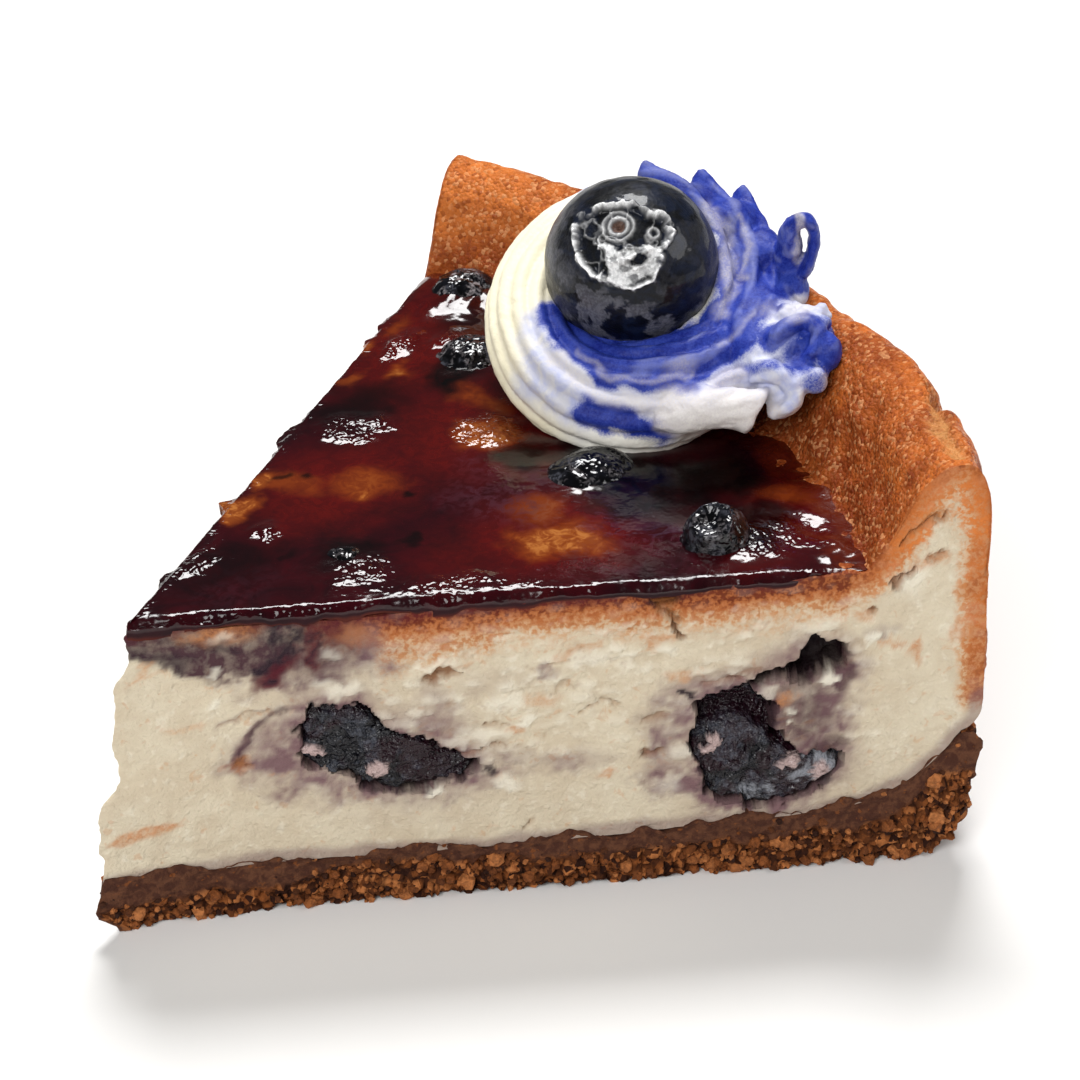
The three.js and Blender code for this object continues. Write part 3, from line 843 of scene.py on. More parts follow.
    masks = {
        "halo": np.maximum(halo, 0.6 * ease(fromCrust + 0.4 * cloud, 2, 0.7) * onCut),
        "crushed": marks["crushed"] * (0.9 + 0.15 * warp[:, 0]),
        "seep": np.maximum(marks["seep"], stain),
        "wine": np.maximum(np.maximum(marks["wine"], edgeStain), rimStain),
        "gash": np.clip(np.maximum(2.5 * marks["gash"], 1.5 * bed), 0, 1),
        "tan": marks["tan"],
        "white": np.maximum(marks["white"], clean * curdy * np.maximum(lumpTop * 0.75, tinyTop * 0.6)),
        "crack": np.clip(marks["pits"] + curdy * cracks * 0.45, 0, 1),
        "bake": bake,
        "dark": dark * skin,
        "paintedRimLight": paintedRimLight * skin * (0.75 + 0.4 * cloud),
        "tear": np.maximum(tear, notch * 0.6),
        "skin": skin,
        "glow": onCut * ease(radius + cloud, 75.5, 79.5) * ease(height, 24, 32) * (0.65 + 0.6 * cloud),
    }
    print("filling:", len(points), "points")
    return addMesh("cheeseFilling", moved, faces, masks, crease=50)


def fillingMaterial():
    look = filling
    material, tree, shader, where = startMaterial("bakedCurd", Roughness=0.5, Specular_IOR_Level=0.12)
    cloudy = mottle(where, 5, 0.35, 0.65, 0.6)
    flecks = mottle(where, 0.6, 0.35, 0.65, 0, 2)
    streak = mapped(mottle(where, 2, 0.3, 0.7, 0.2, 3), 0, 1, 0.8, 1.12)

    colour = blendColours(times(cloudy, 0.5), look["smooth"], look["shade"])
    colour = over(colour, mottle(where, 3, 0.62, 0.72, 0.9), look["bakeLight"], 0.4)
    colour = over(colour, mottle(where, 1.4, 0.58, 0.70, 0, 2), look["curd"], 0.3)
    colour = over(colour, mottle(where, 1.8, 0.64, 0.72, 0.2, 2), look["bakeLight"], 0.35)
    bake = painted(tree, "bake")
    grain = mapped(flecks, 0, 1, -0.16, 0.16)
    baked = plus(bake, times(grain, mapped(bake, 0, 0.3)))
    colour = over(colour, mapped(baked, 0.02, 0.5), look["bakeLight"])
    colour = over(colour, mapped(baked, 0.38, 0.78), look["bakeMid"])
    colour = over(colour, mapped(baked, 0.80, 1.05), look["bakeDark"])
    glow = times(painted(tree, "glow"), mapped(baked, 0.1, 0.6))
    glow = times(glow, mapped(flecks, 0, 1, 0.25, 0.75))
    colour = over(colour, glow, look["rimBright"])
    colour = over(colour, painted(tree, "halo"), look["mauve"])
    crushed = times(painted(tree, "crushed"), streak)
    colour = over(colour, crushed, look["crushed"])
    colour = over(colour, painted(tree, "wine"), look["wine"], 0.85)
    colour = over(colour, painted(tree, "seep"), look["seep"], 0.95)
    stuck = times(painted(tree, "tan"), mapped(flecks, 0, 1, 0.6, 1))
    colour = over(colour, stuck, look["stuck"], 0.8)
    colour = over(colour, painted(tree, "white"), look["curd"], 0.8)
    colour = over(colour, painted(tree, "crack"), look["crackShade"], 0.8)
    # the skin outside: orange to dark brown, paler where it has torn, with painted light on the rim's top
    # and painted glints in its grain
    lumpHeight, lumpGrain = lumps(where, 0.42)
    skin = blendColours(painted(tree, "dark"), look["rimTop"], look["rimDark"])
    skin = over(skin, painted(tree, "paintedRimLight"), look["rimBright"])
    skin = over(skin, mottle(where, 1.6, 0.35, 0.65, 0.3), look["rimDark"], 0.3)
    skin = over(skin, mottle(where, 0.45, 0.62, 0.72, 0, 0), look["glint"], 0.22)
    skin = over(skin, mapped(lumpGrain, 0.80, 0.92), look["paleGrain"], 0.5)
    skin = over(skin, mapped(lumpGrain, 0.25, 0.05), look["rimDark"], 0.5)
    torn = times(painted(tree, "tear"), mapped(flecks, 0, 1, 0.5, 0.85))
    skin = over(skin, torn, look["torn"])
    colour = over(colour, painted(tree, "skin"), skin)
    # painted shadow: near black in the deep gash and in the hollows the burst berries lie in
    colour = over(colour, painted(tree, "gash"), look["hollow"], 0.96)
    feed(colour, shader, "Base Color")
    wet = calculate(tree, "MAXIMUM", painted(tree, "gash"), painted(tree, "seep"))
    wet = calculate(tree, "MAXIMUM", wet, times(painted(tree, "skin"), 0.5))
    feed(mapped(wet, 0, 1, 0.6, 0.22), shader, "Roughness")
    relief = times(lumpHeight, mapped(painted(tree, "skin"), 0, 1, 0.3, 2.2))
    relief = plus(relief, mottle(where, 0.6, 0.2, 0.8))
    relief = plus(relief, mottle(where, 1.6, 0.3, 0.7, 0.4))
    addBump(shader, relief, 0.13, 0.9)
    return material


# The burst berries that the knife cut through.

def movedOutline(corners, start, end, scale, turn, flip=1):
    # The same kind of berry, cut at another place.
    a = math.radians(turn)
    d = (np.array(corners) - start) * scale
    d[:, 0] *= flip
    spin = np.array([(math.cos(a), math.sin(a)), (-math.sin(a), math.cos(a))])
    return (d @ spin + end).tolist()


# Each burst berry: the cut it lies in, its outline there, a middle, hollows in it and bits stuck to it.
bakedBerries = {
    "baked_blueberry_1": {
        "side": -1, "outline": leftBerryOutline, "middle": (24.0, 19.0), "seed": 3,
        "hollows": [oval(20.6, 25.2, 2.6, 0.9, 0.8, 0.6)],
        "bits": [oval(18.4, 20.3, 1, 0.8), oval(25.1, 17.4, 1.2, 0.8)],
    },
    "baked_blueberry_2": {
        "side": -1, "outline": rightBerryOutline, "middle": (64.4, 14.6), "seed": 14,
        "hollows": [area([(58, 19.5), (58, 25), (66.5, 25.4), (68.2, 22), (68.2, 17), (66.4, 18.6),
                          (64, 20.6), (61.4, 20)], 2.6, 0.8)],
        "frostAndHighlight": [oval(72.2, 13.2, 2.8, 1.7, 1.3), oval(65.6, 10.6, 2.4, 1.2)],
        "bits": [oval(69.3, 14.3, 1.5, 0.6), oval(72.6, 12.6, 1.2, 1), oval(60.8, 17.4, 0.6, 1)],
    },
    "baked_blueberry_3": {
        "side": 1, "outline": movedOutline(leftBerryOutline, (24.5, 19.5), (36.5, 23.2), 0.78, 22, -1),
        "middle": (37.0, 22.8), "seed": 25,
        "hollows": [oval(34, 25.4, 2.6, 1.2, 1.2, 0.6)],
        "bits": [oval(39.4, 22.4, 1, 0.7)],
    },
    "baked_blueberry_4": {
        "side": 1, "outline": movedOutline(rightBerryOutline, (65.5, 16.0), (63.0, 17.0), 0.68, -14),
        "middle": (62.6, 16.2), "seed": 36,
        "hollows": [oval(61.6, 20.2, 2.8, 1.4, 1.4, 0.6)],
        "bits": [oval(65.6, 15, 0.9, 0.6)],
    },
}
burst = {"depth": 4.4, "recess": 0.5, "skin": "#0f0e14", "pulp": "#1f0913", "bloomAndSheen": "#565a66",
         "frostAndHighlight": "#84868d", "curd": "#b9a09c"}


def makeBakedBerry(node, berry):
    # A burst, cut berry lying in the filling: folded skin and wet pulp within a torn outline.
    rings, spokes = 40, 120
    outer = ease(np.linspace(0, 1, rings)[1:], -1, 1) * 2 - 1
    around = np.linspace(0, 2 * math.pi, spokes, endpoint=False)
    middle = np.array(berry["middle"])
    corners = np.array(berry["outline"])
    reach = np.zeros(spokes)
    for k, a in enumerate(around):
        way = np.array([math.cos(a), math.sin(a)])
        steps = np.linspace(0, 16, 321)
        inside = insideDepth(middle + steps[:, None] * way, corners) > 0
        reach[k] = steps[inside].max() + 1.1
    spread, fan = (grid.ravel() for grid in np.meshgrid(outer, np.arange(spokes), indexing="ij"))
    ways = np.stack([np.cos(around), np.sin(around)], 1)
    flat = middle + ways[fan] * (spread * reach[fan])[:, None]
    flat = np.concatenate([[middle], flat])
    spread = np.concatenate([[0], spread])
    faceAngle = berry["side"] * halfAngle
    outward = nearNormal if berry["side"] < 0 else farNormal
    radial = np.array([math.cos(faceAngle), math.sin(faceAngle), 0])
    front = radial * flat[:, :1] + upWay * flat[:, 1:]
    seed = berry["seed"]
    warp = bending(front, 1.4, 4, seed + 7, 0.7)
    depth = insideDepth(flat + warp * 0.3, corners)
    edge = ease(depth, 0.7, -0.5)
    hollow = patches(flat, berry["hollows"], warp)
    bits = ease(patches(flat, berry["bits"], warp), 0.3, 0.6)
    fold = fractal(front * (0.8, 0.8, 1.2), 3.2, 4, seed)
    ridges = ease(1 - np.abs(fractal(front, 2.6, 3, seed + 1)), 0.75, 1)
    lump, _, label = cellNoise(front, 1, seed + 2)
    beads = ease(lump, 0.6, 0.1) * ease(label, 0.45, 0.7)
    height = -burst["recess"] + 0.5 * fold + 0.45 * ridges + 0.28 * beads - 1.8 * edge - hollow + 0.5 * bits
    front = front + outward * np.minimum(height, 0.35)[:, None]
    shrunk = middle + (flat - middle) * 0.8
    back = radial * shrunk[:, :1] + upWay * shrunk[:, 1:]
    back = back - outward * (burst["depth"] * np.sqrt(np.clip(1.3 - spread ** 2, 0.3, 1)))[:, None]
    points = np.concatenate([front, back])
    count = len(front)
    faces = []
    for layer, flip in ((0, False), (count, True)):
        for k in range(spokes):
            n = (k + 1) % spokes
            tip = [layer, layer + 1 + k, layer + 1 + n]
            faces.append(tip[::-1] if flip else tip)
            for ring in range(rings - 2):
                p, q = layer + 1 + ring * spokes, layer + 1 + (ring + 1) * spokes
                quad = [p + k, q + k, q + n, p + n]
                faces.append(quad[::-1] if flip else quad)
    rim = 1 + (rings - 2) * spokes
    for k in range(spokes):
        n = (k + 1) % spokes
        faces.append([rim + k, count + rim + k, count + rim + n, rim + n])
    if berry["side"] > 0:
        faces = [face[::-1] for face in faces]
    pulp = ease(fractal(points, 3.4, 3, seed + 5), -0.15, 0.3)
    bloomAndSheen = ease(fractal(points, 1.8, 3, seed + 6), 0.15, 0.5) * 0.6
    frosty = patches(flat, berry.get("frostAndHighlight", []), warp)
    nothing = np.zeros(count)
    frosty = np.concatenate([frosty, nothing]) * ease(fractal(points, 0.8, 3, seed + 9), -0.1, 0.35)
    # painted highlight: paler tops on some beads of pulp, laid into the bloom mask
    sparkle = np.concatenate([beads * (label > 0.75), nothing])
    clear = np.concatenate([1 - np.clip(hollow, 0, 1), nothing])
    masks = {
        "frosty": frosty,
        "pulp": np.maximum(pulp, np.concatenate([hollow, nothing])),
        "curd": np.concatenate([bits, nothing]),
        "bloomAndSheen": np.maximum(bloomAndSheen * clear, 0.6 * sparkle),
    }
    return addMesh("bakedBlueberry" + node[-1], points, faces, masks)


def cookedBerryMaterial():
    material, tree, shader, where = startMaterial("cookedBerry", Roughness=0.22, Specular_IOR_Level=0.45)
    colour = blendColours(painted(tree, "pulp"), burst["skin"], burst["pulp"])
    speck = mottle(where, 0.7, 0.45, 0.6)
    # real bloom, with painted highlights on the beads of pulp
    bloomAndSheen = times(painted(tree, "bloomAndSheen"), mapped(speck, 0, 1, 0.25, 0.8))
    colour = over(colour, bloomAndSheen, burst["bloomAndSheen"])
    colour = over(colour, painted(tree, "frosty"), burst["frostAndHighlight"])
    colour = over(colour, painted(tree, "curd"), burst["curd"])
    feed(colour, shader, "Base Color")
    feed(mapped(bloomAndSheen, 0, 1, 0.16, 0.5), shader, "Roughness")
    fine = mottle(where, 0.5, 0.2, 0.8, 0, 1)
    wrinkle = plus(mottle(where, 1.1, 0.3, 0.7, 0.8, 2), fine)
    addBump(shader, wrinkle, 0.20, 1)
    return material


# The glaze and the berries in it.

glaze = {
    "columnsFlat": 214,
    "columnsEnd": 10,
    "rows": 9,
    "turns": 200,
    "edge": 78.2,
    "skirt": 0.14,  # the glaze stands this far over the cut edges
    "rounding": 0.95,  # radius of its rounded edge there
    "dark": "#1c0409",
    "wine": "#30040b",
    "red": "#560d0a",
    "amber": "#80380f",
    "tan": "#a5642e",
    "haze": "#42202a",
    "frostAndHighlight": "#a9a2a2",
    "blackAndShadow": "#030203",
    "thinEnd": "#571a09",
    "cutSide": "#200c12",
    "foot": "#5d2416",
}
# What shows through or lies in the glaze, with painted shadow under the cream and painted highlights, in
# (x, y) from the slice's point.
glazeMarks = {
    "amber": [
        oval(34.6, 6.8, 3.4, 2.5, 0.72, 0.7, -20), oval(33.6, 5.4, 1.2, 1, 0.95, 0.8),
        oval(28.4, 11.6, 2, 3, 0.55, 0.6, 30), oval(21.4, 11.6, 2.4, 1.8, 1, 0.5, 28),
        oval(26.4, 13.6, 1.9, 1.3, 1, 0.5, 28), oval(51.2, 6.6, 3, 2.6, 0.9, 0.6, -40),
        oval(54.9, 12.4, 1.6, 4, 0.6, 0.7, 10), oval(44.6, -14.8, 4.9, 3.5, 1, 0.45, -38),
        oval(46.4, -8.6, 3, 2.4, 0.8, 0.7, -20), oval(68.4, -22.6, 2.8, 1.4, 0.55, 0.8, -45),
        oval(72.6, -24.4, 0.8, 1.4, 0.8, 0.7, -20), oval(51.2, 23.4, 1.4, 1.2, 0.95, 0.6),
        oval(51.6, 30.2, 1.3, 1, 0.9, 0.6, 30), oval(46.8, 25.8, 1.6, 0.9, 0.7, 0.6, 30),
        oval(57, 31.5, 2.6, 1, 0.6, 0.8, 30),
    ],
    "red": [
        oval(32, 8, 10, 7, 0.85, 0.6, 10), oval(56, 27, 11, 6.5, 0.9, 0.6, 30),
        oval(50, 8, 9, 10, 0.8, 0.6, -30), oval(45, -14, 9.5, 8, 0.95, 0.5, -30),
        oval(68, -26, 6, 8, 0.75, 0.6, -20), oval(34, -12, 5, 5, 0.5, 0.8, -30),
        oval(58, -31, 5, 2.6, 0.5, 0.8, -30),
    ],
    "haze": [
        oval(43.6, -5, 5.4, 3.6, 0.85, 0.6, -62), oval(46.6, 1.4, 2.4, 3.4, 0.6, 0.7),
        oval(53.4, -22.8, 4.4, 2.6, 0.85, 0.6, -40), oval(70.4, -28, 3, 4.2, 0.7, 0.6, -30),
        oval(46, -23.4, 7, 1.4, 0.6, 0.7, -30), oval(12, -1, 5, 3, 0.3, 0.8, -10),
    ],
    # painted highlight: pale speckled glints where the glaze swells over the far berry
    "frostAndHighlight": [oval(73.8, 25.8, 3.6, 3.2, 1, 0.6, -20)],
    "bumpy": [
        oval(40.4, 16.6, 4.4, 2.6, 1, 0.5, -34), oval(54.8, 27.8, 3.6, 1.5, 1, 0.5, 20),
        oval(59.9, 25.3, 2.2, 1.4, 0.8, 0.5), oval(74.2, 26.2, 5.4, 4.8),
        oval(12.4, 5.4, 3.4, 1.2, 0.9, 0.6, 24), oval(21, 5.6, 2, 1.2, 0.8, 0.6),
        oval(51.4, 7.5, 3, 2.4, 1, 0.5, -40), oval(24.6, -7.4, 2.8, 2.2, 0.8, 0.6),
        oval(30, -15, 9, 1.8, 0.6, 0.8, -30), oval(61.5, -27.8, 6, 3, 0.7, 0.6, -30),
        oval(74, -24, 2.2, 5, 0.45, 0.8, -18),
    ],
    # near black over the berries, and painted shadow where the cream shades the glaze
    "blackAndShadow": [
        oval(44, 20.6, 6, 3.6, 0.75, 0.6, 8), oval(51, 0.8, 3, 2.4, 1, 0.5, -40),
        oval(57, -10, 5, 8.5, 1, 0.4, -14), oval(64, -15.5, 7, 4.5, 1, 0.5, -10),
        oval(56, 19.5, 3.6, 3, 1, 0.5, 40), oval(66, 28, 6, 4.5, 0.85, 0.5, 30),
        oval(24.4, -3.6, 3.4, 2.8, 0.9, 0.6), oval(61.5, -24.6, 5.6, 5, 0.9),
        oval(14, 2, 6, 3.2, 0.6, 0.7, 4), oval(30.3, 11.6, 1, 0.6, 0.9, 0.5),
        oval(28.3, 12.9, 1.2, 0.5, 0.8, 0.5), oval(36.4, 2.4, 0.8, 0.6, 0.9, 0.5),
        oval(31.4, -5.6, 1, 0.7, 0.8, 0.5), oval(20, 0.5, 1.4, 0.8, 0.7, 0.5),
    ],
}
glazeBerryLook = {
    "glaze_blueberry_1": {"swell": 0.5, "spread": 1.4, "crown": (-0.35, -0.2), "sink": -0.2, "coated": 0.3,
                          "scale": (0.8, 0.8, 1.15)},
    "glaze_blueberry_2": {"swell": 0.45, "spread": 1.4, "crown": None, "sink": 0.9, "coated": 0.2},
    "glaze_blueberry_3": {"swell": 0.6, "spread": 1.5, "crown": None, "sink": 0.9, "coated": 0.5},
    "glaze_blueberry_4": {"swell": 0.8, "spread": 1.5, "crown": None, "sink": 1.2, "coated": 0.4},
    "glaze_blueberry_5": {"swell": 2.6, "spread": 1.4, "crown": None, "sink": 2.6, "coated": 1.0},
}


def glazeRise(points):
    # How far the glaze's surface stands off its level, over the berries and in soft waves.
    rise = 0.13 * fractal(points, 12, 2, 211) + 0.03 * fractal(points, 3, 2, 221)
    for node, look in glazeBerryLook.items():
        centre, half = boxOf(node)
        d = np.hypot((points[:, 0] - centre[0]) / (half[0] * look["spread"]),
                     (points[:, 1] - centre[1]) / (half[1] * look["spread"]))
        rise = rise + look["swell"] * np.exp(-1.6 * d ** 2) * (1 + 0.12 * fractal(points, 1.6, 2, 241))
    warp = bending(points, 2.4, 3, 283)
    bumpy = patches(points[:, :2], glazeMarks["bumpy"], warp)
    rise += bumpy * (0.30 + 0.20 * fractal(points, 2.2, 2, 231) + 0.10 * fractal(points, 1.1, 1, 232))
    return rise


def makeGlaze():
    bottom = seatHeight + 0.2
    right = seatRight - 0.1
    end = (bendRadius, right)
    low = (outline((0, bottom), (25, bottom), (58, right), end), outline(end, (glaze["edge"], right)))
    high = (outline((0, glazeTop), (66, glazeTop), (71, glazeTop - 0.15)),
            outline((71, glazeTop - 0.15), (75, glazeTop - 0.3, glaze["edge"], glazeTop - 0.5)))
    points, faces, side = wedgeSolid(glaze, low, high, lambda r, z: z > bottom + 0.2)
    radius = levelRadius(points)
    height = points[:, 2]
    level = points * (1, 1, 0)
    share = np.clip((height - bottom) / (glazeTop - bottom), 0, 1.6)
    onCut = ((side != 0) | (radius < 1e-6)) * 1.0
    # its edge along the cuts is rounded over and sags a little on the face
    lip = glaze["skirt"] * (1 + 2.0 * fractal(points * (1, 1, 0.2), 3.4, 4, 251))
    lip += (1.9 * fractal(points * (1, 1, 0.2), 5.5, 4, 254) - 0.3) * (side > 0) * ease(radius, 3, 9)
    tail = ease(radius, 65, 74)
    lip = lip * (1 - tail) - 0.4 * tail
    moved = points + cutNormal(side) * (lip * onCut)[:, None]
    fromCut = cutDistance(points)
    r = glaze["rounding"] * (1 + 0.4 * fractal(level, 4, 3, 252)) * np.where(points[:, 1] > 0.2, 0.5, 1)
    drop = r - np.sqrt(np.clip(r ** 2 - np.clip(r - fromCut, 0, None) ** 2, 0, None))
    drop = np.minimum(drop, 0.85 + 0.1 * fractal(points, 3, 2, 253))
    moved[:, 2] += share * (glazeRise(points) * ease(fromCut, -0.4, 1.6) - drop)
    moved[:, 2] += share * 0.10 * fractal(level, 2.6, 3, 255) * ease(fromCut, 2.5, 0)
    moved[:, 2] += share * 0.45 * fractal(level, 3.2, 3, 273) * ease(radius, 70, 74.5)
    sag = ease(fractal(level, 4, 4, 261), -0.3, 0.9) * onCut * (1 - share)
    moved[:, 2] -= sag * (0.9 - 0.4 * ease(radius, 30, 60))
    edgeWave = ease(radius, 70, 76) * 1.3 * fractal(level, 5, 4, 271)
    moved += levelWay(points) * (edgeWave * share)[:, None]
    moved = slump(moved, 0.5)

    plane = points[:, :2]
    warp = bending(points, 3.4, 4, 281)
    masks = {}
    for name, rows in glazeMarks.items():
        masks[name] = patches(plane, rows, warp, ragged=1.5)
    masks["bumpy"] = np.maximum(masks["bumpy"], 0.35 * ease(fromCut, 1.6, 0.7)) * ease(share, 0.5, 0.9)
    masks["foot"] = onCut * ease(share + 0.2 * warp[:, 0], 0.45, 0)
    masks["thin"] = ease(radius + 2.6 * warp[:, 0], 71, 77)
    fromNear = np.abs(points @ nearNormal)
    gaps = ease(fractal(level, 3, 4, 256) + 0.3 * warp[:, 1], 0, 0.35)
    masks["dull"] = 0.12 * ease(fromNear + 0.5 * warp[:, 0], 1.7, 0.6) * gaps
    masks["side"] = onCut * ease(share, 0.95, 0.5)
    print("glaze:", len(points), "points")
    return addMesh("blueberryGlaze", moved, faces, masks, crease=50)


def glazeMaterial():
    look = glaze
    material, tree, shader, where = startMaterial("fruitGlaze", Roughness=0.1, Specular_IOR_Level=0.4)
    soft = mottle(where, 5, 0.3, 0.7, 0.8)
    fibres = mottle(where, 1.6, 0.4, 0.62, 1.4)
    colour = blendColours(soft, look["dark"], look["wine"])
    red = times(painted(tree, "red"), mapped(fibres, 0, 1, 0.65, 1))
    colour = over(colour, red, look["red"])
    amber = times(painted(tree, "amber"), mapped(fibres, 0, 1, 0.7, 1))
    colour = over(colour, amber, look["amber"])
    colour = over(colour, calculate(tree, "POWER", amber, 6), look["tan"])
    haze = times(painted(tree, "haze"), fibres)
    colour = over(colour, haze, look["haze"], 0.8)
    # near black over the berries and painted shadow under the cream
    blackAndShadow = times(painted(tree, "blackAndShadow"), mapped(fibres, 0, 1, 0.85, 1))
    colour = over(colour, blackAndShadow, look["blackAndShadow"])
    thin = times(painted(tree, "thin"), mapped(fibres, 0, 1, 0.55, 1))
    colour = over(colour, thin, look["thinEnd"])
    colour = over(colour, painted(tree, "side"), look["cutSide"], 0.5)
    colour = over(colour, painted(tree, "foot"), look["foot"], 0.7)
    # painted highlight: pale glints on the glaze over the far berry
    speckle = mapped(mottle(where, 0.45, 0.35, 0.6), 0, 1, 0.15, 0.9)
    colour = over(colour, times(painted(tree, "frostAndHighlight"), speckle), look["frostAndHighlight"])
    feed(colour, shader, "Base Color")
    ripple = mottle(where, 1, 0.3, 0.7, 0, 1)
    fine = mottle(where, 0.55, 0.3, 0.7, 0, 0)
    height = plus(ripple, times(fine, 0.6))
    height = times(height, mapped(painted(tree, "bumpy"), 0, 1, 0.06, 1))
    dull = calculate(tree, "MAXIMUM", painted(tree, "side"), painted(tree, "dull"))
    feed(mapped(dull, 0, 0.8, 0.1, 1), shader, "Roughness")
    addBump(shader, height, 0.10, 1)
    return material


sunkBerry = {"skin": "#030305", "skinBlue": "#0b0c12", "bloomAndSheen": "#5c5d66", "frostAndHighlight": "#8a8486"}


def makeGlazeBerry(node):
    # A whole berry half sunk in the glaze, its skin wrinkled by the oven.
    centre, half = boxOf(node)
    look = glazeBerryLook[node]
    spokes, rings = 72, 42
    unit = ballPoints(spokes, rings)
    placed = centre + unit * half * look.get("scale", 1.0) - (0, 0, look["sink"])
    number = int(node[-1])
    shift = 0.20 * fractal(placed, 2.6, 2, 300 + number)
    shift -= 0.28 * ease(1 - np.abs(fractal(placed, 3.2, 2, 320 + number)), 0.84, 1)
    bloomAndSheen = ease(fractal(placed, 1.8, 3, 340 + number), 0.2, 0.7)
    if look["crown"]:
        direction = Vector((*look["crown"], 0.9)).normalized()
        cosine = unit @ np.array(direction)
        off = np.degrees(np.arccos(np.clip(cosine, -1, 1)))
        ring = np.exp(-((off - 30) / 7) ** 2)
        shift += 0.5 * ring * (1 + 0.5 * fractal(placed, 0.9, 2, 351)) - 0.7 * ease(off, 24, 8)
        # painted reflection: the wet crown ring paler, laid into the bloom mask
        bloomAndSheen = np.maximum(bloomAndSheen, 1.6 * ring * ease(fractal(placed, 0.8, 2, 353), -0.1, 0.3))
    moved = placed + unit * shift[:, None]
    # painted highlight: pale glints of the glaze coat, as strong as "coated" says
    frostAndHighlight = look["coated"] * ease(fractal(placed, 1.1, 3, 360 + number), -0.1, 0.5)
    masks = {"bloomAndSheen": bloomAndSheen, "frostAndHighlight": frostAndHighlight}
    return addMesh("glazeBlueberry" + node[-1], moved, ballFaces(spokes, rings), masks)


def glazedBerryMaterial():
    material, tree, shader, where = startMaterial("berryInGlaze", Roughness=0.1, Specular_IOR_Level=0.5)
    speck = mottle(where, 0.5, 0.45, 0.6)
    look = sunkBerry
    colour = blendColours(mottle(where, 2, 0.4, 0.6), look["skin"], look["skinBlue"])
    bloomAndSheen = times(painted(tree, "bloomAndSheen"), mapped(speck, 0, 1, 0.1, 0.5))
    colour = over(colour, bloomAndSheen, look["bloomAndSheen"])
    # painted highlight: pale glints of the glaze coat
    colour = over(colour, times(painted(tree, "frostAndHighlight"), speck), look["frostAndHighlight"])
    feed(colour, shader, "Base Color")
    fine = mottle(where, 0.6, 0.3, 0.7, 0, 0)
    relief = plus(mottle(where, 1.3, 0.3, 0.7, 0.4, 1), fine)
    addBump(shader, relief, 0.05, 1)
    return material


# The crumb crust.

crust = {
    "columnsFlat": 236,
    "columnsEnd": 60,
    "rows": 26,
    "turns": 190,
    "dense": "#4a2a1e",
    "denseLight": "#66402c",
    "crumb": "#8f5126",
    "crumbLight": "#c27a45",
    "crumbDark": "#32170b",
    "gapShade": "#2a1008",
    "crumbs": {"sizes": (0.40, 1.0), "perSquareCm": 34},  # radius of the loose crumbs, and how many
    "grains": {"sizes": (0.13, 0.42), "perSquareCm": 214, "simple": True},
}


def crustOutlines():
    foot = (bendRadius, 0)
    bend = (bendRadius, crustTop + 0.8)
    low = (outline((0, 0), foot),
           outline(foot, (83, 0), (cakeRadius - 1.2, 1, cakeRadius - 0.6, 8.6), (cakeRadius, 14.2)))
    high = (outline((0, crustTop), (28, crustTop - 0.6), (50, crustTop - 0.2), bend),
            outline(bend, (83, crustTop + 1.8, 87.8, crustTop + 9.2), (89.4, 16.6, cakeRadius, 14.4)))
    return low, high


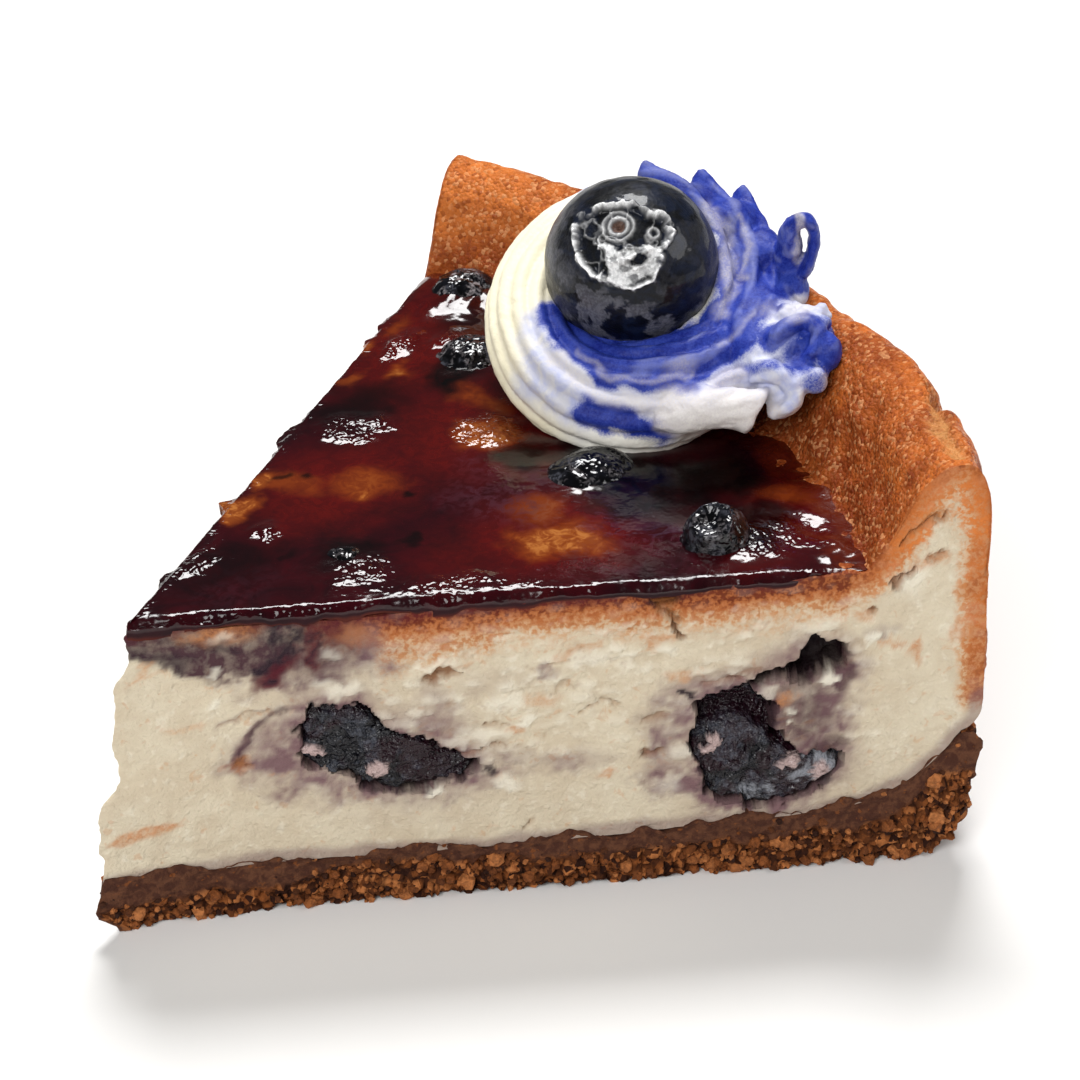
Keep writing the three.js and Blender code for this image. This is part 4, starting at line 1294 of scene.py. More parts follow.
def makeCrust():
    low, high = crustOutlines()
    points, faces, side = wedgeSolid(
        crust, low, high,
        lambda r, z: (r > 80.5 and z < 15 and not (z > crustTop + 1.2 and r < 88.2)) or (r > 87.6),
    )
    normals = vertexNormals(points, quadsOf(faces))
    radius = levelRadius(points)
    height = points[:, 2]
    onCut = side != 0
    onWall = (~onCut) * ease(radius, 80, 84)
    line = np.interp(radius, [0, 14, 25, 45, 66, 80, 86], [3.0, 3.4, 5.0, 4.4, 4.2, 5.2, 11.0])
    line = line + 0.8 * fractal(points * (1, 1, 0), 3, 3, 401)
    loose = ease(line - height, -0.5, 0.7)
    looseWall = np.clip(0.8 + 0.4 * fractal(points, 3, 2, 402), 0, 1)
    loose = np.where(onCut, loose, np.where(radius > 80, looseWall, 0))
    nearest, second, label = cellNoise(points + 0.3 * fractal(points, 1, 2, 411)[:, None], 1.35, 421)
    grains = ease(second - nearest, 0, 0.4)
    shift = loose * (0.75 * grains * (0.4 + label) - 0.62 + 0.35 * fractal(points, 0.8, 2, 431))
    shift += (1 - loose) * onCut * (0.22 * fractal(points, 1.4, 3, 441) - 0.05)
    shift += (onWall + onCut) * 0.3 * fractal(points, 5, 2, 451)
    shift *= np.where(onCut, 1, onWall)
    moved = points + normals * shift[:, None]
    # broken-off stretches along the foot of the near cut and of the wall
    bite = ease(fractal(points * (1, 1, 0), 4, 3, 461), 0.1, 0.9) * ease(height, 3, 0)
    moved -= cutNormal(side) * (bite * 1.1 * onCut)[:, None]
    # chunks missing or standing out round the wall, and crumbs along its upper edge
    chunk = fractal(points, 3.4, 3, 465) * onWall * ease(height, 17, 12)
    moved += levelWay(points) * (0.9 * chunk)[:, None]
    topLine = np.concatenate([high[0][::30], high[1][::6]])
    upperEdge = ease(lineDistance(np.stack([radius, height], 1), topLine), 1.2, 0)
    crumble = 0.4 * fractal(points, 1.3, 3, 466) + 0.6 * fractal(points, 4.5, 2, 467)
    moved[:, 2] += onCut * upperEdge * crumble
    moved -= cutNormal(side) * (-0.22 * upperEdge * onCut)[:, None]
    moved[:, 2] = np.maximum(moved[:, 2], 0.0)
    moved = slump(moved)
    clump = 0.25 + 0.95 * ease(fractal(points, 3, 3, 470), -0.25, 0.45)
    masks = {
        "loose": loose,
        "grain": label,
        # painted shade in the gaps between the packed crumbs
        "gapShade": ease(second - nearest, 0.22, 0) * loose,
        "wall": onWall * 1.0,
        "scatter": clump * np.where(onCut, ease(line - height, -0.4, 0.6) + 0.05, onWall * 0.55),
    }
    print("crust:", len(points), "points")
    return addMesh("crumbCrust", moved, faces, masks, crease=55)


def crustMaterial():
    look = crust
    material, tree, shader, where = startMaterial("pressedCrumb", Roughness=0.85, Specular_IOR_Level=0.2)
    height, grain = lumps(where, 0.8)
    speck = mottle(where, 1.1, 0.4, 0.62, 0.4)
    dense = blendColours(speck, look["dense"], look["denseLight"])
    bits = times(mottle(where, 0.9, 0.62, 0.70, 0, 2), 0.6)
    dense = over(dense, bits, look["crumb"])
    crumb = blendColours(mapped(grain, 0.1, 0.8), look["crumbDark"], look["crumb"])
    crumb = over(crumb, mapped(grain, 0.75, 0.95), look["crumbLight"])
    # painted shade between the crumbs
    crumb = over(crumb, painted(tree, "gapShade"), look["gapShade"], 0.8)
    colour = blendColours(painted(tree, "loose"), dense, crumb)
    feed(colour, shader, "Base Color")
    total = plus(times(height, 0.6), mottle(where, 0.5, 0.2, 0.8))
    addBump(shader, total, 0.18, 0.9)
    return material


def crumbMaterial():
    look = crust
    material, tree, shader, where = startMaterial("looseCrumb", Roughness=0.8, Specular_IOR_Level=0.25)
    shade = painted(tree, "shade")
    colour = blendColours(mapped(shade, 0.2, 0.75), look["crumbDark"], look["crumb"])
    colour = over(colour, mapped(shade, 0.8, 0.98), look["crumbLight"])
    speck = mottle(where, 0.5, 0.4, 0.6)
    colour = over(colour, speck, look["crumbDark"], 0.4)
    feed(colour, shader, "Base Color")
    addBump(shader, mottle(where, 0.4, 0.25, 0.75), 0.12, 0.9)
    return material


def crumbTree(material, simple):
    # Scatters small irregular crumbs where the surface's "scatter" mask is painted.
    tree = bpy.data.node_groups.new("scatterCrumbs", "GeometryNodeTree")
    face = tree.interface
    face.new_socket("Geometry", in_out="INPUT", socket_type="NodeSocketGeometry")
    for name, kind in (("Per Square Metre", "NodeSocketFloat"), ("Smallest", "NodeSocketFloat"),
                       ("Largest", "NodeSocketFloat"), ("Seed", "NodeSocketInt")):
        face.new_socket(name, in_out="INPUT", socket_type=kind)
    face.new_socket("Geometry", in_out="OUTPUT", socket_type="NodeSocketGeometry")
    given = tree.nodes.new("NodeGroupInput").outputs
    made = tree.nodes.new("NodeGroupOutput").inputs
    mask = addNode(tree, "GeometryNodeInputNamedAttribute", {"Name": "scatter"}, data_type="FLOAT")
    density = times(given["Per Square Metre"], mask.outputs[0])
    spread = addNode(tree, "GeometryNodeDistributePointsOnFaces",
                     {"Mesh": given["Geometry"], "Density": density, "Seed": given["Seed"]})
    variants = addNode(tree, "GeometryNodeGeometryToInstance")
    place = addNode(tree, "GeometryNodeInputPosition").outputs[0]
    for variant in range(6):
        if simple:
            block = addNode(tree, "GeometryNodeMeshIcoSphere", {"Radius": 0.95, "Subdivisions": 1})
        else:
            cube = {"Size": (1.4, 1.4, 1.4), "Vertices X": 3, "Vertices Y": 3, "Vertices Z": 3}
            block = addNode(tree, "GeometryNodeMeshCube", cube)
        noise = addNode(tree, "ShaderNodeTexNoise", {"W": 3.7 * variant, "Scale": 1.1, "Detail": 2.0},
                        noise_dimensions="4D")
        way = addNode(tree, "ShaderNodeVectorMath", {0: place}, operation="NORMALIZE")
        reach = mapped(noise.outputs["Fac"], 0.3, 0.7, 0.45, 1.35)
        lump = addNode(tree, "ShaderNodeVectorMath", {0: way.outputs[0], "Scale": reach}, operation="SCALE")
        rough = addNode(tree, "GeometryNodeSetPosition",
                        {"Geometry": block.outputs["Mesh"], "Position": lump.outputs[0]})
        tree.links.new(rough.outputs[0], variants.inputs[0])
    skew = addNode(tree, "FunctionNodeRandomValue", data_type="FLOAT")
    skew.inputs["Min"].default_value = 0.0
    skew.inputs["Max"].default_value = 1.0
    cubed = calculate(tree, "POWER", skew.outputs[1], 2.5)
    width = calculate(tree, "SUBTRACT", given["Largest"], given["Smallest"])
    scale = calculate(tree, "MULTIPLY_ADD", cubed, width, given["Smallest"])
    spin = addNode(tree, "FunctionNodeRandomValue", {"Max": (6.28, 6.28, 6.28)}, data_type="FLOAT_VECTOR")
    place = addNode(tree, "GeometryNodeInstanceOnPoints",
                    {"Points": spread.outputs["Points"], "Instance": variants.outputs[0],
                     "Pick Instance": True, "Rotation": spin.outputs[0], "Scale": scale})
    shade = addNode(tree, "FunctionNodeRandomValue", data_type="FLOAT")
    store = addNode(tree, "GeometryNodeStoreNamedAttribute",
                    {"Geometry": place.outputs[0], "Name": "shade", "Value": shade.outputs[1]},
                    data_type="FLOAT", domain="INSTANCE")
    real = addNode(tree, "GeometryNodeRealizeInstances", {"Geometry": store.outputs[0]})
    finish = addNode(tree, "GeometryNodeSetMaterial", {"Geometry": real.outputs[0], "Material": material})
    tree.links.new(finish.outputs[0], made["Geometry"])
    return tree


def scatterCrumbs(source, name, row, seed, material):
    carrier = source.copy()
    carrier.data = source.data.copy()
    bpy.context.scene.collection.objects.link(carrier)
    modifier = carrier.modifiers.new("crumbs", "NODES")
    tree = crumbTree(material, row.get("simple", False))
    modifier.node_group = tree
    smallest, largest = row["sizes"]
    values = {"Per Square Metre": row["perSquareCm"] * 1e4, "Seed": seed,
              "Smallest": smallest * mm, "Largest": largest * mm}
    for item in tree.interface.items_tree:
        if item.in_out == "INPUT" and item.name in values:
            modifier[item.identifier] = values[item.name]
    result = evaluatedMesh(carrier)
    result.name = name
    piece = bpy.data.objects.new(name, result)
    bpy.context.scene.collection.objects.link(piece)
    points = vectorsOf(result.vertices, "co")
    points[:, 2] = np.maximum(points[:, 2], 0)
    result.vertices.foreach_set("co", points.ravel())
    result.polygons.foreach_set("use_smooth", [False] * len(result.polygons))
    print(name + ":", len(result.polygons), "faces")
    return piece


# The piped cream.

# The swirl's own axes are turned about Z: "across" runs to its loose end and "away" behind the berry.
cream = {
    "turn": -37.8,
    "voxel": 0.26,
    "ribs": 15,
    "drift": 8,  # ribs passed in one turn round the ring
    "ribDepth": 0.75,
    "seenUp": (0.5417, 0.8406),  # how much of away and of up there is in what is seen as up
    "white": "#f4f1e6",
    "ivory": "#f7efd2",
    "lilac": "#b4bade",
    "blue": "#3346a6",
    "deep": "#101f7c",
    "valleyShade": "#d6cfc8",
    "pale": "#dad4d2",
}
berryCentre, berryHalf = boxOf("garnish_blueberry")
swirlTurn = math.radians(cream["turn"])
acrossWay = np.array([math.cos(swirlTurn), math.sin(swirlTurn), 0])
awayWay = np.array([-math.sin(swirlTurn), math.cos(swirlTurn), 0])


def fromSwirl(local):
    local = np.atleast_2d(local)
    return berryCentre + local[:, :1] * acrossWay + local[:, 1:2] * awayWay + local[:, 2:3] * upWay


def toSwirl(points):
    d = points - berryCentre
    return np.stack([d @ acrossWay, d @ awayWay, d[:, 2]], 1)


def ringShape(turn):
    # Radius of the ring, height of its middle and thickness of the bead, at an angle round the berry.
    ring = 11.35 + 0.1 * np.sin(turn) + 0.4 * np.cos(turn) - 0.3 * np.cos(2 * turn)
    height = -6.3 + 4.2 * np.sin(turn) + 1.0 * np.cos(turn)
    loose = np.exp(-((turn + 0.15) / 0.75) ** 2) + np.exp(-((turn - 2 * math.pi + 0.15) / 0.75) ** 2)
    bead = 5.5 + 0.45 * np.cos(turn + 1.2) - 1.5 * loose
    return ring, height + 0.2 * loose, bead


def ribProfile(turn, section):
    phase = cream["ribs"] * section + cream["drift"] * turn
    wobble = 0.5 * np.sin(3 * turn + 1.0) + 0.35 * np.sin(5 * turn - section)
    crest = np.abs(np.cos((phase + wobble) / 2))
    return crest ** 0.75


def smoothPath(places, perGap):
    # A smooth line through the places: how far along it each step is, the steps, and the way it runs there.
    places = np.array(places, float)
    t = np.linspace(0, len(places) - 1, perGap * (len(places) - 1))
    path = np.stack([smoothLine(places[:, k], t) for k in range(3)], 1)
    return t, path, unitRows(np.gradient(path, axis=0))


def finMesh(crest, widths, depths):
    # A bead whose upper edge follows the crest, thinner towards that edge.
    t, centre, along = smoothPath(crest, 14)
    wide = smoothLine(np.array(widths, float), t)
    tall = smoothLine(np.array(depths, float), t)
    outward = centre * (1, 1, 0.4)
    lean = upWay + 0.55 * outward / np.linalg.norm(outward, axis=1, keepdims=True)
    flat = unitRows(np.cross(along, lean))
    stand = np.cross(flat, along)
    a = np.linspace(0, 2 * math.pi, 28, endpoint=False)
    narrow = np.cos(a) * (1 - 0.38 * np.sin(a))
    body = (centre[:, None] + narrow[None, :, None] * (wide[:, None] * flat)[:, None]
            + (np.sin(a) - 1)[None, :, None] * (tall[:, None] * stand)[:, None])
    return closedTube(body, (centre - tall[:, None] * stand)[[0, -1]])


def smoothLine(values, t):
    # Catmull-Rom through the values.
    index = np.clip(np.floor(t).astype(int), 0, len(values) - 2)
    f = t - index
    padded = np.concatenate([[2 * values[0] - values[1]], values, [2 * values[-1] - values[-2]]])
    a, b, c, d = (padded[index + k] for k in range(4))
    curve = (2 * a - 5 * b + 4 * c - d) * f ** 2 + (3 * b - a - 3 * c + d) * f ** 3
    return 0.5 * (2 * b + (c - a) * f + curve)


def ribbedRing():
    turns, sides = 300, 210
    turn = np.linspace(0, 2 * math.pi, turns, endpoint=False)[:, None]
    section = np.linspace(0, 2 * math.pi, sides, endpoint=False)[None, :]
    ring, height, bead = ringShape(turn)
    crest = ribProfile(turn, section)
    depth = cream["ribDepth"] * (1 + 0.3 * np.clip(np.cos(turn - 0.3), 0, 1))
    r = bead + depth * (crest - 0.75)
    out = ring + r * np.cos(section)
    up = height + r * np.sin(section) * 1.04
    points = np.stack([out * np.cos(turn), out * np.sin(turn), up + 0 * out], -1).reshape(-1, 3)
    faces = []
    for i in range(turns):
        n = (i + 1) % turns
        for j in range(sides):
            m = (j + 1) % sides
            faces.append([i * sides + j, n * sides + j, n * sides + m, i * sides + m])
    return points, faces


# Each fin is a rib that leaves the ring: its crest in the swirl's axes, half widths, and depths below it.
fins = [
    {"crest": [(2, -12.6, -7.6), (7, -10.8, -5), (9.9, -6, -1.5), (10.7, -1, 0.75), (9.2, 5.6, 3),
               (6.3, 9.6, 4.9), (3.4, 11.8, 5.4), (1.6, 12.6, 6)],
     "widths": [0.8, 1.5, 1.7, 1.7, 1.8, 1.9, 1.6, 0.6], "depths": [0.8, 2.2, 2.8, 3, 3, 2.8, 2, 0.8]},
    {"crest": [(4, -14.6, -9), (9.8, -11.2, -6.9), (12.8, -5.5, -1.8), (13.8, 0.2, 0.3), (12.2, 6.6, 2.7),
               (9.8, 10.6, 4.3), (8.2, 12.2, 5.4)],
     "widths": [0.8, 1.4, 1.7, 1.8, 1.9, 1.8, 0.6], "depths": [0.8, 2.2, 3, 3.2, 3, 2.6, 0.9]},
    {"crest": [(8, -14.2, -8.2), (11.8, -11.6, -6.7), (14.7, -7, -2.5), (16, -1, -0.7), (15.3, 5, 1.3),
               (13.8, 9, 3), (12.6, 10.8, 4)],
     "widths": [0.9, 1.5, 1.8, 1.8, 1.8, 1.6, 0.6], "depths": [0.8, 2.2, 3, 3.2, 2.8, 2.4, 0.9]},
    {"crest": [(12.6, -12, -5.4), (16.2, -8, -3.2), (17.4, -3, -2.2), (17.5, 1, -0.2), (17.2, 4, 0.4)],
     "widths": [0.9, 1.5, 1.6, 1.5, 0.9], "depths": [1.2, 2.6, 2.8, 2.6, 1.4]},
    # the white rib that runs out into the tongue, and the lip over it
    {"crest": [(-6, -14, -9.6), (0, -16.4, -9.4), (4.4, -16.4, -9), (7.6, -15.6, -8.8)],
     "widths": [0.8, 2, 2, 1.2], "depths": [0.8, 2.2, 2.6, 1.8]},
    {"crest": [(4, -15.6, -8), (9.6, -14.6, -6.2), (13.4, -13.6, -5.2)],
     "widths": [0.6, 1.5, 1.7], "depths": [0.6, 2.2, 2.6]},
    {"crest": [(12.4, -12.4, -4.9), (15.4, -9.6, -2.9), (18.2, -7.4, -2), (20.8, -7.6, -2.6)],
     "widths": [1, 1.9, 2.3, 1.7], "depths": [1, 2.6, 3, 2.2]},
]
# Curled flaps: a line of places, the way they are wide, half width along it, and half thicknesses.
openingWay = (0.0, -0.84, 0.54)
flaps = [
    # the standing loop
    {"points": [(16.9, 1.4, -3.4), (17.2, 1.2, 0.9), (17.5, 1.2, 3.6), (18.7, 1, 4.9), (19.8, 0.8, 3.9),
                (19.9, 0.7, 1.9), (19.4, 0.5, -0.6), (18.2, 0.3, -2.8)],
     "way": openingWay, "half": 2.1, "thick": [1.5, 1.5, 1.1, 0.75, 0.6, 0.55, 0.6, 0.9]},
    # the dark fold and the curled lip
    {"points": [(14.4, -11.6, -3.6), (16, -10.6, -2.5), (18.3, -9.8, -1.8), (20, -10.6, -2.4),
                (19.6, -12.2, -3.6), (18.4, -13.6, -4.6)],
     "way": openingWay, "half": 1.6, "thick": [0.9, 0.9, 0.85, 0.85, 0.8, 0.7]},
    {"points": [(12.6, -14, -5.4), (15.2, -14.6, -5.2), (17, -15.4, -6.2), (17.3, -16, -7.8),
                (16, -16.4, -8.9), (14.4, -16.2, -8.9)],
     "way": openingWay, "half": 1.8, "thick": [1.3, 1.3, 1.2, 1.2, 1.1, 0.9]},
    # the blunt white tongue
    {"points": [(3, -16, -8.6), (7, -17, -8.4), (10.6, -17.3, -8.3), (13.6, -17.2, -8.4)],
     "way": (-0.42, -0.6, -0.68), "half": 2.7, "thick": [1.2, 2, 2.1, 1.8], "end": 0.8},
]
lobes = [
    ((-0.5, 0.3, -8.8), (11, 11, 5.4)), ((13.4, -3, -5.6), (5.6, 9.5, 4.6)),
    ((14.6, -8.6, -5.6), (4.8, 5.2, 3.4)), ((18.5, -8.6, -5), (3.6, 4.2, 2.8)),
    ((18.4, -12.6, -6.2), (2.9, 3, 2.2)), ((21, -12, -4.2), (1.6, 2, 2.1)),
    ((19.2, -14.8, -6), (1.8, 1.5, 1.7)), ((17.8, 0, -3.4), (1.8, 2.4, 2.4)),
    ((6.2, 10.6, 0.3), (4.6, 2.6, 3.4)), ((11.2, 7.2, 0.4), (3.4, 3.2, 3.4)),
    ((14.6, 3.6, -1.2), (2.6, 3.4, 3.2)), ((15.3, -14.4, -7.6), (2, 1.6, 1.6)),
]
# Where the froth of small bubbles sits: from and to, how many, and their sizes.
froth = {"from": (15.4, -6.4, -2.0), "to": (21.2, -8.4, -1.9), "spread": (0.5, 1.5, 0.5), "count": 60,
         "sizes": (0.35, 0.8)}
# Where the colour lies, seen square to the opening: across and up from the berry's middle.
creamMarks = {
    "blue": [
        area([(-9.8, -4.6), (-9.4, -8.2), (-7.2, -11.2), (-4, -13.2), (1, -14.5), (6, -14.2), (10, -12.4),
              (13, -9.8), (14.8, -6.6), (16, -4.2), (21, -3), (22.5, 4), (19, 8), (14, 11), (8, 13),
              (-6.5, 13), (-6.4, 8.4), (-2, 8.6), (3, 8.2), (6.6, 6.2), (9.2, 3), (9.6, -0.8), (8.6, -4),
              (7, -6), (4, -7), (0, -7.4), (-4.8, -7), (-8, -4.6)], 1, 0.8, ragged=0.7),
        stroke([(-4.8, -16.4), (-2.6, -17.2), (0.8, -18.2), (2.6, -18.5)], 1.3, 1, 0.8, ragged=0.8),
        stroke([(14.6, -8.8), (16.4, -7.9), (18.5, -7.2), (20, -8), (19.2, -9.6), (17.8, -11)],
                1.3, ragged=0.3),
        oval(21.4, -9.4, 1.9, 2.8, ragged=0.5), oval(18, -10.6, 2, 2, 0.9, 0.5, ragged=0.4),
        oval(19.8, -13.4, 1.5, 1.3, 0.6, 0.5, ragged=0.4),
        stroke([(9.6, -13.4), (13, -12), (15, -11.4)], 0.8, 0.6, 0.7),
    ],
    "lilac": [
        area([(-12, -14), (-11, -6), (-8.8, -4.5), (-4, -9), (4, -10), (9, -7), (10.5, 0), (9, 6),
              (4, 9.6), (-5, 9), (-5, 13), (24, 13), (24, -8), (18, -17), (8, -14.6), (2, -17), (-6, -18)],
              0.95, 2, ragged=1),
        stroke([(13.5, -12.4), (16.8, -13.2), (17.2, -15.4), (15.6, -16.6)], 1.2, 1, 0.5),
    ],
    "white": [
        oval(18.3, -5.2, 3.2, 1.3, 0.62, 0.6, 6, ragged=0.7),
        stroke([(4.5, -16.6), (8, -16.4), (13.5, -16.6)], 2.6, 1, 0.3),
        stroke([(9.6, -5), (10.8, -1), (10.2, 4), (8.6, 6.6)], 0.7, 0.5, 0.9, ragged=0.8),
        stroke([(-8.8, -10.6), (-6, -13.6), (-1, -15.6), (4.5, -15.8), (9, -14), (12, -12.6)],
                0.8, 0.8, 0.7),
        stroke([(-6.4, -10.4), (-2.4, -12.6), (2.2, -13.4), (6.6, -12.4)], 0.3, 0.35, 0.9),
        stroke([(8.8, -9.2), (11.4, -8), (13.6, -5.6)], 0.3, 0.3, 0.9),
        stroke([(12, -2), (12.8, 1.6), (11.8, 5)], 0.3, 0.4, 0.9),
        stroke([(18.2, 4.4), (18.4, 2.6), (18.2, 0.4)], 0.5, 0.7, 0.6),
        oval(5.2, -11.8, 1.6, 0.9, 0.35, 0.8, 20),
    ],
}


def flapMesh(points, way, half, thick, end=0.25):
    # A curled sheet of cream. "end" is how much of its width is left where it starts and stops.
    t, centre, along = smoothPath(points, 16)
    wideWay = np.array(way)
    thickness = smoothLine(np.array(thick, float), t)
    off = unitRows(np.cross(along, wideWay))
    a = np.linspace(0, 2 * math.pi, 20, endpoint=False)
    taper = np.clip(np.minimum(t, t[-1] - t) * 1.6 + end, 0, 1)[:, None, None]
    wave = 1 + 0.12 * np.sin(t * 2.3)[:, None, None]
    body = (centre[:, None] + np.cos(a)[None, :, None] * half * wave * taper * wideWay[None, None]
            + np.sin(a)[None, :, None] * thickness[:, None, None] * off[:, None])
    return closedTube(body, centre[[0, -1]])


def ellipsoidMesh(centre, half, spokes=48, rings=24):
    return ballPoints(spokes, rings) * half + centre, ballFaces(spokes, rings)


def cakeSurface(points):
    # Height of the glaze or rim under each place.
    radius = levelRadius(points)
    line = upperOutline()[1]
    rising = line[: np.argmax(line[:, 1]) + 20]
    height = np.interp(radius, rising[:, 0], rising[:, 1], left=seatHeight, right=rimHeight - 0.6)
    return np.maximum(height, glazeTop)


def makeCream():
    parts = [ribbedRing()] + [ellipsoidMesh(*lobe) for lobe in lobes]
    parts += [finMesh(fin["crest"], fin["widths"], fin["depths"]) for fin in fins]
    parts += [flapMesh(**row) for row in flaps]
    for k in range(froth["count"]):
        random = latticeValue(np.array([[k, j, 7] for j in range(5)]), 521)
        middle = np.array(froth["from"]) + random[0] * (np.array(froth["to"]) - froth["from"])
        middle = middle + (random[1:4] * 2 - 1) * froth["spread"]
        parts.append(ellipsoidMesh(middle, np.interp(random[4], [0, 1], froth["sizes"]), 14, 7))
    allPoints, allFaces, start = [], [], 0
    for points, faces in parts:
        allPoints.append(points)
        allFaces += [[v + start for v in face] for face in faces]
        start += len(points)
    points = fromSwirl(np.concatenate(allPoints))
    rough = addMesh("creamRough", points, allFaces)
    remesh = rough.modifiers.new("join", "REMESH")
    remesh.mode = "VOXEL"
    remesh.voxel_size = cream["voxel"] * mm
    smooth = rough.modifiers.new("smooth", "SMOOTH")
    smooth.factor = 0.5
    smooth.iterations = 2
    mesh = evaluatedMesh(rough)
    points = vectorsOf(mesh.vertices, "co") / mm - pointOfSlice
    normals = vectorsOf(mesh.vertices, "normal")
    faces = [list(p.vertices) for p in mesh.polygons]
    # press it down on the cake and round the berry
    surface = cakeSurface(points) + 0.12
    points[:, 2] = np.where(points[:, 2] < surface, surface - 0.08 * (surface - points[:, 2]), points[:, 2])
    away = points - berryCentre
    distance = np.linalg.norm(away, axis=1)
    reach = berryHalf.max() + 0.15
    inside = distance < reach
    points = np.where(inside[:, None], berryCentre + away / distance[:, None] * (reach - 0.1), points)
    local = toSwirl(points)
    turn = np.arctan2(local[:, 1], local[:, 0])
    ring, height, _ = ringShape(turn)
    out = np.hypot(local[:, 0], local[:, 1]) - ring
    up = local[:, 2] - height
    # fine streaks that follow the piping, away from where its turn starts over
    streaks = fractal(np.stack([out, up, 3.0 * turn], 1), 1.2, 3, 531) * ease(local[:, 0], -6, 2)
    rough = 0.06 * fractal(points, 1.3, 3, 501) + 0.10 * fractal(points, 4, 2, 502) + 0.16 * streaks
    points += normals * rough[:, None]
    section = np.arctan2(up, out)
    crest = ribProfile(turn, section)
    seen = np.stack([local[:, 0], local[:, 1:] @ cream["seenUp"]], 1)
    warp = bending(points, 3, 3, 511)
    masks = {name: patches(seen, rows, warp) for name, rows in creamMarks.items()}
    back = ease(local[:, 1], 2, 8) * ease(local[:, 2], 2, -2)
    blueBack = back * ease(local[:, 0] + 2 * warp[:, 0], -1, 4) * 0.9
    masks["blue"] = np.maximum(masks["blue"] * (1 - back), blueBack)
    masks["ivory"] = ease(local[:, 0], -5, -10)
    masks["streak"] = ease(streaks, 0.1, 0.8)
    # painted shade in the troughs between the ribs
    masks["valleyShade"] = ease(crest, 0.62, 0.15) * ease(np.abs(out) + np.abs(up), 2, 4)
    print("cream:", len(points), "points")
    return addMesh("creamRosette", points, faces, masks)


def creamMaterial():
    look = cream
    material, tree, shader, where = startMaterial("whippedCream", Roughness=0.45, Specular_IOR_Level=0.2)
    soft = mottle(where, 2, 0.35, 0.65, 0.5)
    grain = mottle(where, 0.22, 0.35, 0.65)
    colour = blendColours(painted(tree, "ivory"), look["white"], look["ivory"])
    # painted shade in the troughs between the ribs
    colour = over(colour, painted(tree, "valleyShade"), look["valleyShade"], 0.15)
    lilac = times(painted(tree, "lilac"), mapped(soft, 0, 1, 0.55, 1))
    colour = over(colour, lilac, look["lilac"])
    blue = painted(tree, "blue")
    spray = plus(blue, mapped(grain, 0, 1, -0.12, 0.09))
    spray = times(mapped(spray, 0.05, 0.7), mapped(blue, 0, 0.25))
    colour = over(colour, spray, look["blue"])
    deep = plus(mapped(soft, 0, 1, 0, 0.7), mapped(grain, 0, 1, -0.2, 0.3))
    deep = times(mapped(blue, 0.55, 0.95), deep)
    colour = over(colour, deep, look["deep"])
    colour = over(colour, painted(tree, "streak"), look["lilac"], 0.2)
    pale = times(painted(tree, "white"), mapped(grain, 0, 1, 0.6, 1))
    colour = over(colour, pale, look["pale"])
    feed(colour, shader, "Base Color")
    addBump(shader, mottle(where, 0.5, 0.2, 0.8, 0.2), 0.06, 0.7)
    return material


# The berry on top.

garnish = {
    "crownWay": (-0.57, -0.48, 0.67),
    "fineReach": 7.0,  # the faces are small this far round the crown's middle
    "skin": "#07080c",
    "skinBlue": "#10182a",
    "bloomAndSheen": "#66666e",
    "frostAndHighlight": "#ffffff",
    "scar": "#7d5f52",
}
# The crown, seen straight on: across and up from its middle.
crownRing = [(-5.3, 3), (-2.5, 4.3), (0.7, 4.7), (3.9, 3.9), (5.4, 2.5), (5.2, 0.2), (4.6, -1.6),
             (3.9, -3.5), (2.1, -4.6), (-0.6, -4.1), (-2.5, -3.7), (-4.4, -2.1), (-5.1, -0.2), (-5.5, 1.4)]
# Pale patches in the crown, partly pale bloom and partly painted highlight.
crownFrostAndHighlight = [(-2.6, 0.7), (-2.5, -0.5), (-1.4, -2.1), (-1, -3.9), (0.7, -4.6), (2.1, -4), (3.9, -2.5),
              (5.1, 0.2), (3, 0.8), (2.1, -0.2), (-0.2, -0.7)]
crownScar = np.array([-0.5, 2.0])
crownDot = np.array([3.5, 1.8])


